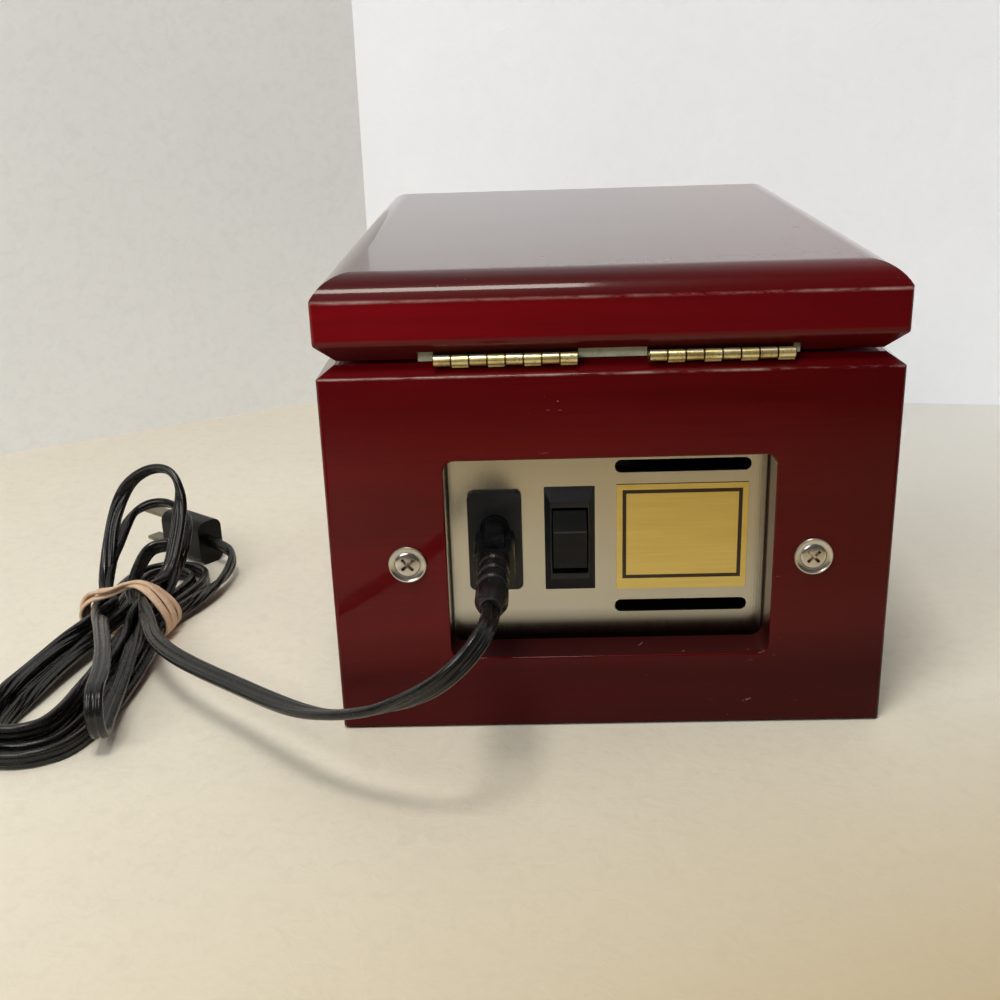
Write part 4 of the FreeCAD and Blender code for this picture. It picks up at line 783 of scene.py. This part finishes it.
def lacquer(name, grain, tone, reveal=-1.0):
    """Lacquer over fine straight grain, dulled and darkened by painted shade low on the base, with dust and
    a faint ripple.
    """
    wood = Surface(name, 0.34, Coat_Weight=1.0, Coat_Roughness=0.05, Coat_IOR=1.27, Specular_IOR_Level=0.08)
    fine = wood.noise(1.0, stretched(grain, 16, 800), 5, 0.6, 0.5)
    # low on the base: a thinner coat, and painted shade in the colour
    dull = wood.ramp(wood.math("DIVIDE", wood.axis("Z"), DULL_SHADED_FOOT), (0.55, 1.0), (1.0, 0.0))
    worn_and_lit = lacquer_wear_and_highlight(wood, grain)
    body = lacquer_colour(wood, fine, dull, grain, tone, reveal)
    # pale worn edges, partly a painted highlight
    wood.set("Base Color", wood.mix(worn_and_lit, body, BARE_EDGE_AND_HIGHLIGHT))
    coat = wood.math("SUBTRACT", 1.0, wood.math("MULTIPLY", worn_and_lit, 0.7))
    wood.set("Coat Weight", wood.math("MULTIPLY", coat, wood.math("MULTIPLY_ADD", dull, -0.5, 1.0)))
    dust = wood.noise(310, detail=5, rough=0.7)
    haze = wood.noise(30, detail=3, twist=0.6, shift=(2, 6, 1))
    wood.set("Coat Roughness", wood.math("MULTIPLY_ADD", wood.math("MULTIPLY", dust, haze), 0.16, 0.035))
    ripple = wood.math("ADD", wood.noise(42, detail=2), wood.math("MULTIPLY", fine, 0.05))
    wood.bump(ripple, 0.035, 0.0006)
    return wood.material


def plain_wood():
    wood = Surface("plain_wood", 0.6, Specular_IOR_Level=0.3)
    grain = wood.noise(1.0, (16, 240, 240), 6, 0.6, 0.6)
    wood.set("Base Color", wood.ramp(grain, (0.32, (0.30, 0.18, 0.095)), (0.55, (0.44, 0.285, 0.16)),
                                     (0.75, (0.52, 0.36, 0.21))))
    wood.bump(grain, 0.2, 0.0003)
    return wood.material


# Cloth, foam and felt


def pile(name, dark, light, scale, sheen, depth):
    """Short fibres that catch light at the edges."""
    cloth = Surface(name, 0.95, Specular_IOR_Level=0.15, Sheen_Weight=sheen, Sheen_Roughness=0.45)
    fibre = cloth.noise(scale, detail=5, rough=0.7)
    swept = cloth.noise(38, (1, 1.6, 1), 3, 0.6, 0.5)
    tone = cloth.math("MULTIPLY_ADD", fibre, 0.6, cloth.math("MULTIPLY", swept, 0.4))
    cloth.set("Base Color", cloth.ramp(tone, (0.34, dark), (0.66, light)))
    cloth.bump(fibre, 0.55, depth)
    return cloth.material


# Metals

# painted shade at the window: its colour, how high it rises above the window's foot, and the width of the
# painted shadow in each side joint
WINDOW_PAINTED_SHADE = (0.012, 0.008, 0.007)
WINDOW_SHADE_RISE = 0.012
JOINT_SHADOW_WIDE = 0.8 * MM


def brushed(name, dull, bright, rough, lines, shaded=False):
    """Fine straight brushing with faint clouds."""
    metal = Surface(name, rough, 1.0)
    streak = metal.noise(1.0, lines, 5, 0.65)
    cloud = metal.noise(45, detail=3)
    tone = metal.math("MULTIPLY_ADD", streak, 0.55, metal.math("MULTIPLY", cloud, 0.45))
    colour = metal.ramp(tone, (0.34, dull), (0.66, bright))
    metal.set("Roughness", metal.math("MULTIPLY_ADD", streak, 0.16, rough - 0.08))
    # a shaded plate takes painted shade at the window's foot and sides
    if shaded:
        colour = metal.mix(window_shade(metal), colour, WINDOW_PAINTED_SHADE)
    metal.set("Base Color", colour)
    metal.bump(streak, 0.08, 0.0002)
    return metal.material


def window_shade(metal):
    """Painted shade at the window's foot, for the sill's shadow and its dark reflection, and a painted
    contact shadow in the joints at its two sides.
    """
    rise = metal.span(metal.axis("Z"), WINDOW_FOOT, WINDOW_SHADE_RISE)
    low = metal.ramp(rise, (0.12, 0.95), (0.47, 0.68), (0.70, 0.28), (0.92, 0.0))
    side = metal.near(metal.math("ABSOLUTE", metal.axis("X")), WINDOW_HALF, JOINT_SHADOW_WIDE)
    joint_shadow = metal.math("MINIMUM", metal.math("MULTIPLY", side, 1.8), 0.92)
    return metal.math("MAXIMUM", low, joint_shadow)


# the hinges: the pins' middle, each hinge's first end and knuckle length along X, then barrel and half the
# width of the painted highlight on the edge
PIN_LOW, PIN_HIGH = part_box("hinge_left_pin")
PIN_MIDDLE = (PIN_LOW + PIN_HIGH) / 2
HINGE_STARTS = {side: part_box(f"hinge_{side}_pin")[0].x for side in SIDES}
KNUCKLES = 8
KNUCKLE_LONG = (PIN_HIGH.x - PIN_LOW.x) / KNUCKLES
BARREL_RADIUS = 1.9 * MM
EDGE_WIDE = 0.36 * MM
# half the share of a knuckle between its gaps
KNUCKLE_SHARE = 0.452
SPOT_BROWN = (0.20, 0.12, 0.04)
# a painted highlight on the rolled edge, then painted shade in the knuckles' gaps
ROLLED_EDGE_HIGHLIGHT = (0.98, 0.92, 0.78)
GAP_PAINTED_SHADE = (0.035, 0.018, 0.008)
# each leaf's dull and bright brass, and where its painted highlight lies above the pin's middle
LEAF_BRASS = {
    "base": ((0.76, 0.62, 0.25), (1.0, 0.92, 0.52), -1.35 * MM),
    "lid": ((0.56, 0.44, 0.17), (0.86, 0.74, 0.38), 1.35 * MM),
}


def brass(name, dull, bright, rim, start):
    """Mottled brass with brown spots, painted shade in the gaps between knuckles and a painted highlight
    along one rolled edge of them.
    """
    metal = Surface(name, 0.34, 0.9)
    mottle = metal.noise(300, (0.6, 1, 1), 4, 0.7)
    colour = metal.ramp(mottle, (0.34, dull), (0.62, bright))
    spots = metal.noise(620, detail=4, rough=0.75, shift=(1, 5, 2))
    spots = metal.ramp(spots, (0.57, 0.0), (0.68, 0.8))
    colour = metal.mix(spots, colour, SPOT_BROWN)
    edge = metal.near(metal.axis("Z"), PIN_MIDDLE.z + rim, EDGE_WIDE)
    barrel = metal.math("GREATER_THAN", metal.axis("Y"), PIN_MIDDLE.y - BARREL_RADIUS)
    colour = metal.mix(metal.math("MULTIPLY", edge, barrel), colour, ROLLED_EDGE_HIGHLIGHT)
    along = metal.span(metal.axis("X"), start, KNUCKLE_LONG)
    off = metal.math("ABSOLUTE", metal.math("SUBTRACT", metal.math("FRACT", along), 0.5))
    gap_shade = metal.math("MULTIPLY", metal.math("GREATER_THAN", off, KNUCKLE_SHARE), barrel)
    metal.set("Base Color", metal.mix(gap_shade, colour, GAP_PAINTED_SHADE))
    metal.set("Roughness", metal.math("MULTIPLY_ADD", spots, 0.3, 0.32))
    metal.bump(mottle, 0.10, 0.0002)
    return metal.material


# Brushed gold plate with a plain dark border line

LABEL_LOW, LABEL_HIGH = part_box("label_plate")
# the border line's place inside the plate's edge, its rise above the middle and half its width
BORDER_IN_X, BORDER_IN_Z, BORDER_RISE, BORDER_HALF = 0.0024, 0.0033, 0.0009, 0.00060
BORDER_DARK = (0.030, 0.014, 0.006)


def gold_plate():
    gold = Surface("gold_plate", 0.27, 1.0)
    streak = gold.noise(1.0, (40, 1, 1100), 4, 0.6)
    colour = gold.ramp(streak, (0.30, (0.76, 0.600, 0.195)), (0.70, (0.84, 0.680, 0.245)))
    x, z = gold.axis("X"), gold.axis("Z")
    half_x = (LABEL_HIGH.x - LABEL_LOW.x) / 2 - BORDER_IN_X
    half_z = (LABEL_HIGH.z - LABEL_LOW.z) / 2 - BORDER_IN_Z
    middle_x = (LABEL_HIGH.x + LABEL_LOW.x) / 2
    middle_z = (LABEL_HIGH.z + LABEL_LOW.z) / 2 + BORDER_RISE
    past_x = gold.math("SUBTRACT", gold.math("ABSOLUTE", gold.math("SUBTRACT", x, middle_x)), half_x)
    past_z = gold.math("SUBTRACT", gold.math("ABSOLUTE", gold.math("SUBTRACT", z, middle_z)), half_z)
    past = gold.math("MAXIMUM", past_x, past_z)
    line = gold.math("LESS_THAN", gold.math("ABSOLUTE", past), BORDER_HALF)
    gold.set("Base Color", gold.mix(line, colour, BORDER_DARK))
    gold.set("Metallic", gold.math("SUBTRACT", 1.0, line))
    gold.bump(streak, 0.05, 0.0001)
    return gold.material


# Plastics and rubber

# the height of the rocker's ridge and half its width, then the painted shade above it and the painted
# highlight on it
ROCKER_RIDGE, RIDGE_HALF = 0.0622, 0.4 * MM
ROCKER_SHADE = (0.0015, 0.0015, 0.0017)
RIDGE_HIGHLIGHT = (0.055, 0.055, 0.055)


def moulded(name, colour, lighter, rough, grain, depth, shine=0.45):
    """Moulded plastic with a fine spark-eroded grain and faint handling marks."""
    plastic = Surface(name, rough, Specular_IOR_Level=shine)
    fine = plastic.noise(grain, detail=3, rough=0.6)
    marks = plastic.noise(70, (1, 1, 2.4), 4, 0.65, 0.8)
    plastic.set("Base Color", plastic.ramp(marks, (0.40, colour), (0.78, lighter)))
    plastic.set("Roughness", plastic.math("MULTIPLY_ADD", marks, 0.22, rough - 0.11))
    plastic.bump(fine, 0.18, depth)
    return plastic.material


def rocker_plastic():
    """The rocker: painted shade on its tipped-in upper part, and a painted highlight along the ridge that
    divides it from the lower part.
    """
    plastic = Surface("rocker_plastic", 0.5, Specular_IOR_Level=0.25)
    fine = plastic.noise(3200, detail=3, rough=0.6)
    marks = plastic.noise(90, (1, 1, 2.2), 4, 0.65, 0.8)
    height = plastic.axis("Z")
    colour = plastic.ramp(marks, (0.38, (0.006, 0.006, 0.006)), (0.78, (0.013, 0.013, 0.013)))
    colour = plastic.mix(plastic.math("GREATER_THAN", height, ROCKER_RIDGE), colour, ROCKER_SHADE)
    colour = plastic.mix(plastic.near(height, ROCKER_RIDGE, RIDGE_HALF), colour, RIDGE_HIGHLIGHT)
    plastic.set("Base Color", colour)
    plastic.bump(fine, 0.15, 0.00008)
    return plastic.material


def rubber(name, dark, light, rough):
    """Soft rubber with a dusty bloom."""
    band = Surface(name, rough, Specular_IOR_Level=0.35)
    bloom = band.noise(260, detail=4, rough=0.7)
    band.set("Base Color", band.ramp(bloom, (0.34, dark), (0.68, light)))
    band.bump(bloom, 0.2, 0.0002)
    return band.material


FINISHES = {
    "plain_wood": plain_wood(),
    "felt": pile("felt", (0.012, 0.012, 0.013), (0.045, 0.045, 0.048), 1500, 0.2, 0.0004),
    "lining_velvet": pile("velvet", (0.008, 0.008, 0.010), (0.030, 0.030, 0.034), 1900, 0.6, 0.0003),
    "foam": pile("foam", (0.020, 0.020, 0.022), (0.075, 0.075, 0.080), 900, 0.05, 0.0005),
    "hinge_brass": brushed("hinge_brass", (0.52, 0.40, 0.16), (0.86, 0.70, 0.34), 0.3, (500, 60, 60)),
    "grey_strip": rubber("grey_strip", (0.54, 0.57, 0.42), (0.80, 0.83, 0.64), 0.6),
    "stainless_plate": brushed("stainless_plate", (0.53, 0.515, 0.460), (0.58, 0.565, 0.510), 0.20,
                               (1500, 1, 24), shaded=True),
    "nickel": brushed("nickel", (0.55, 0.52, 0.48), (0.74, 0.72, 0.68), 0.24, (200, 200, 200)),
    # dark metal for the plug's blades: painted shade for the shadow they lie in
    "shaded_blade_metal": brushed("shaded_blade_metal", (0.16, 0.14, 0.10), (0.30, 0.27, 0.20), 0.36, (60, 400, 60)),
    "zinc_steel": brushed("zinc_steel", (0.46, 0.47, 0.49), (0.68, 0.69, 0.70), 0.32, (60, 400, 60)),
    "bush_bronze": brushed("bush_bronze", (0.46, 0.31, 0.12), (0.70, 0.53, 0.26), 0.3, (90, 400, 90)),
    "black_plastic": moulded("black_plastic", (0.008, 0.0085, 0.011), (0.019, 0.020, 0.025), 0.42,
                             2600, 0.0001),
    "rocker_plastic": rocker_plastic(),
    "gold_label": gold_plate(),
    "cord_pvc": moulded("cord_pvc", (0.004, 0.004, 0.0045), (0.012, 0.012, 0.0125), 0.27, 1800, 0.00006),
    "plug_pvc": moulded("plug_pvc", (0.003, 0.003, 0.0035), (0.008, 0.008, 0.009), 0.36, 1800, 0.0001,
                        shine=0.16),
    "wire_pvc": moulded("wire_pvc", (0.005, 0.005, 0.006), (0.014, 0.014, 0.015), 0.5, 1800, 0.0001),
    "tan_rubber": rubber("tan_rubber", (0.66, 0.445, 0.290), (0.84, 0.630, 0.455), 0.60),
}
# the lid's lacquer is painted lighter than the base's: painted light on one and the same finish
LID_LIT_TONE, BASE_TONE = 2.0, 1.15
# the finishes that differ between pieces of one slot
OWN_FINISHES = {
    "lid_shell": lacquer("lacquer_lid", "X", LID_LIT_TONE),
    "base_back_wall": lacquer("lacquer_back", "X", BASE_TONE, REVEAL_DEPTH),
    "base_front_wall": lacquer("lacquer_front", "X", BASE_TONE),
}
for side in SIDES:
    OWN_FINISHES[f"base_{side}_wall"] = lacquer(f"lacquer_base_{side}_wall", "Y", BASE_TONE)
    for leaf, (dull, bright, rim) in LEAF_BRASS.items():
        leaf_brass = brass(f"{side}_{leaf}_brass", dull, bright, rim, HINGE_STARTS[side])
        OWN_FINISHES[f"hinge_{side}_{leaf}_leaf"] = leaf_brass


def dress(obj, material):
    obj.data.materials.clear()
    obj.data.materials.append(material)


for name, node in NODES.items():
    finish = OWN_FINISHES[name] if name in OWN_FINISHES else FINISHES[SLOTS[name]]
    for piece in (node, EASED.get(name, node)):
        dress(piece, finish)
dress(mains_cord, FINISHES["cord_pvc"])
dress(tie_band, FINISHES["tan_rubber"])
dress(EASED["plug_blades"], FINISHES["shaded_blade_metal"])
dress(EASED["mains_plug"], FINISHES["plug_pvc"])
dress(cushion, FINISHES["lining_velvet"])
dress(lining, FINISHES["lining_velvet"])
dress(foam, FINISHES["foam"])

# Set and light

WALL_CORNER = (0.1205, -0.305)
WALL_LEFT = (0.9, 0.157)
WALL_RIGHT = (-0.9781, -0.1076)
FLOOR_FRONT = 0.62
WALL_HIGH = 1.1
# a point that the floor and both walls face
SET_MIDDLE = Vector((0, 0.1, 0.1))
# each wall's two feet, colour and glow
WALLS = {
    "wall_left": (WALL_LEFT, WALL_CORNER, (0.82, 0.83, 0.83), 0.14),
    "wall_right": (WALL_CORNER, WALL_RIGHT, (0.89, 0.915, 0.96), 0.26),
}
# cream floor, its painted shadow near the viewer and painted light far off, then painted shade that only
# reflections see
FLOOR_CREAM, FLOOR_SHADOWED, FLOOR_LIT = (0.90, 0.86, 0.74), (0.55, 0.44, 0.265), (1.0, 1.0, 0.97)
FLOOR_SHADE_BEYOND = (0.02, 0.017, 0.014)
# where the floor takes its painted shadow along Y and X, its painted light along Y and X, and its painted
# shade for reflections along Y: start, then length
SHADOW_Y, SHADOW_X = (0.09, 0.15), (0.17, -0.27)
LIT_Y, LIT_X = (-0.2, 0.3), (0.0, -0.2)
SHADE_BEYOND_Y = (0.0, 0.5)
# the light from the far side and the viewer's side, and the backdrop that the camera sees
SKY_FAR, SKY_NEAR, SKY_SEEN = (0.78, 0.78, 0.78, 1), (0.10, 0.098, 0.095, 1), (0.86, 0.86, 0.85, 1)
SKY_STRENGTH = 0.9
# where the far light gives way to the near: start and end, as shares from far to near
SKY_TURN = (0.36, 0.56)
# each lamp's place, aim, size, power and colour, and whether polish shows it
LAMPS = {
    "overhead": ((0.08, 0.20, 1.40), (0.02, 0.0, 0.0), (0.55, 0.34), 1.2, (1.0, 0.97, 0.92), False),
    "tube": ((0.13, 0.50, 1.30), (0.12, 0.1, 0.1), (0.36, 0.24), 6.6, (1.0, 0.95, 0.85), True),
    "fill": ((0.46, 0.70, 0.66), (0.0, 0.1, 0.09), (0.55, 0.40), 3.4, (1.0, 0.98, 0.96), True),
}


def pale(name, colour, crease, glow):
    """A plain pale covering with faint creases, seen through from behind."""
    cover = Surface(name, 0.7, Specular_IOR_Level=0.2)
    tone = cover.noise(9, detail=3)
    shade = cover.ramp(tone, (0.30, scaled(colour, 0.95)), (0.72, colour))
    grain = cover.noise(170, detail=5, rough=0.7, twist=0.8)
    shade = cover.mix(cover.ramp(grain, (0.36, 0.10), (0.52, 0.0)), shade, scaled(colour, 0.55))
    creases = cover.math("ADD", cover.noise(120, detail=4, twist=1.2), cover.noise(26, detail=3, twist=1.6))
    cover.bump(creases, crease, 0.0012)
    path = cover.add("ShaderNodeLightPath").outputs
    seen = cover.math("MAXIMUM", path["Is Camera Ray"], path["Is Glossy Ray"])
    cover.set("Emission Color", (*colour, 1))
    cover.set("Emission Strength", cover.math("MULTIPLY", seen, glow))
    behind = cover.add("ShaderNodeNewGeometry").outputs["Backfacing"]
    clear = cover.add("ShaderNodeBsdfTransparent").outputs[0]
    both = cover.add("ShaderNodeMixShader", {0: behind, 1: cover.shader.outputs[0], 2: clear})
    cover.tree.links.new(both.outputs[0], cover.tree.nodes["Material Output"].inputs["Surface"])
    return cover, shade


def floor_cover():
    """Cream covering: painted shadow near the viewer, painted light far off, and painted shade in what it
    gives back from beyond.
    """
    cover, shade = pale("floor_cover", FLOOR_CREAM, 0.25, 0.0)
    x, y = cover.axis("X"), cover.axis("Y")
    # painted shadow near the viewer, strongest on the -X side
    near = cover.math("SMOOTH_MAX", cover.span(y, *SHADOW_Y), 0.0, 0.1)
    aside = cover.ramp(cover.span(x, *SHADOW_X), (0.0, 0.25), (1.0, 1.0))
    shadowed = cover.math("MINIMUM", cover.math("MULTIPLY", near, aside), 1.0)
    shade = cover.mix(shadowed, shade, FLOOR_SHADOWED)
    # painted light far off on the -X side
    far = cover.ramp(cover.span(y, *LIT_Y), (0.0, 1.0), (1.0, 0.0))
    outer = cover.ramp(cover.span(x, *LIT_X), (0.40, 0.0), (0.60, 1.0))
    shade = cover.mix(cover.math("MULTIPLY", far, outer), shade, FLOOR_LIT)
    # painted shade far towards the viewer, which only reflected and bounced light sees
    beyond = cover.ramp(cover.span(y, *SHADE_BEYOND_Y), (0.70, 0.0), (0.97, 0.97))
    seen = cover.add("ShaderNodeLightPath").outputs["Is Camera Ray"]
    beyond = cover.math("MULTIPLY", beyond, cover.math("SUBTRACT", 1.0, seen))
    cover.set("Base Color", cover.mix(beyond, shade, FLOOR_SHADE_BEYOND))
    return cover.material


def wall_cover(name, colour, glow):
    cover, shade = pale(f"{name}_cover", colour, 0.3, glow)
    cover.set("Base Color", shade)
    return cover.material


def make_sheet(name, points, cover):
    """A flat sheet that faces the set's middle."""
    mesh = new_mesh(name, points, [range(len(points))], smooth=False)
    side = mesh.polygons[0]
    if side.normal.dot(SET_MIDDLE - side.center) < 0:
        mesh.flip_normals()
    sheet = bpy.data.objects.new(name, mesh)
    scene.collection.objects.link(sheet)
    dress(sheet, cover)
    return sheet


def make_set():
    front = [(WALL_RIGHT[0], FLOOR_FRONT), (WALL_LEFT[0], FLOOR_FRONT)]
    floor_points = [(x, y, 0) for x, y in (WALL_CORNER, WALL_RIGHT, *front, WALL_LEFT)]
    sheets = [make_sheet("floor", floor_points, floor_cover())]
    for name, (start, end, colour, glow) in WALLS.items():
        points = [(*start, 0), (*end, 0), (*end, WALL_HIGH), (*start, WALL_HIGH)]
        sheets.append(make_sheet(name, points, wall_cover(name, colour, glow)))


def make_lamp(name, place, target, size, power, colour, mirrored):
    data = bpy.data.lights.new(name, "AREA")
    data.shape = "RECTANGLE"
    data.size, data.size_y = size
    data.energy = power
    data.color = colour
    lamp = bpy.data.objects.new(name, data)
    scene.collection.objects.link(lamp)
    lamp.location = place
    lamp.rotation_mode = "QUATERNION"
    lamp.rotation_quaternion = (Vector(target) - Vector(place)).to_track_quat("-Z", "Y")
    lamp.visible_glossy = mirrored


def make_world():
    """Soft light from all round, dimmer from the viewer's side."""
    world = bpy.data.worlds.new("world")
    scene.world = world
    world.use_nodes = True
    nodes, link = world.node_tree.nodes, world.node_tree.links.new
    toward = nodes.new("ShaderNodeTexCoord")
    split = nodes.new("ShaderNodeSeparateXYZ")
    link(toward.outputs["Generated"], split.inputs[0])
    spread = nodes.new("ShaderNodeMath")
    spread.operation = "MULTIPLY_ADD"
    spread.inputs[1].default_value = 0.5
    spread.inputs[2].default_value = 0.5
    link(split.outputs["Y"], spread.inputs[0])
    ramp = nodes.new("ShaderNodeValToRGB")
    link(spread.outputs[0], ramp.inputs[0])
    for mark, place, colour in zip(ramp.color_ramp.elements, SKY_TURN, (SKY_FAR, SKY_NEAR)):
        mark.position = place
        mark.color = colour
    seen = nodes.new("ShaderNodeLightPath")
    sky = nodes.new("ShaderNodeMix")
    sky.data_type = "RGBA"
    link(seen.outputs["Is Camera Ray"], sky.inputs[0])
    link(ramp.outputs[0], sky.inputs[6])
    sky.inputs[7].default_value = SKY_SEEN
    link(sky.outputs[2], nodes["Background"].inputs["Color"])
    nodes["Background"].inputs["Strength"].default_value = SKY_STRENGTH


make_set()
for name, lamp in LAMPS.items():
    make_lamp(name, *lamp)
make_world()
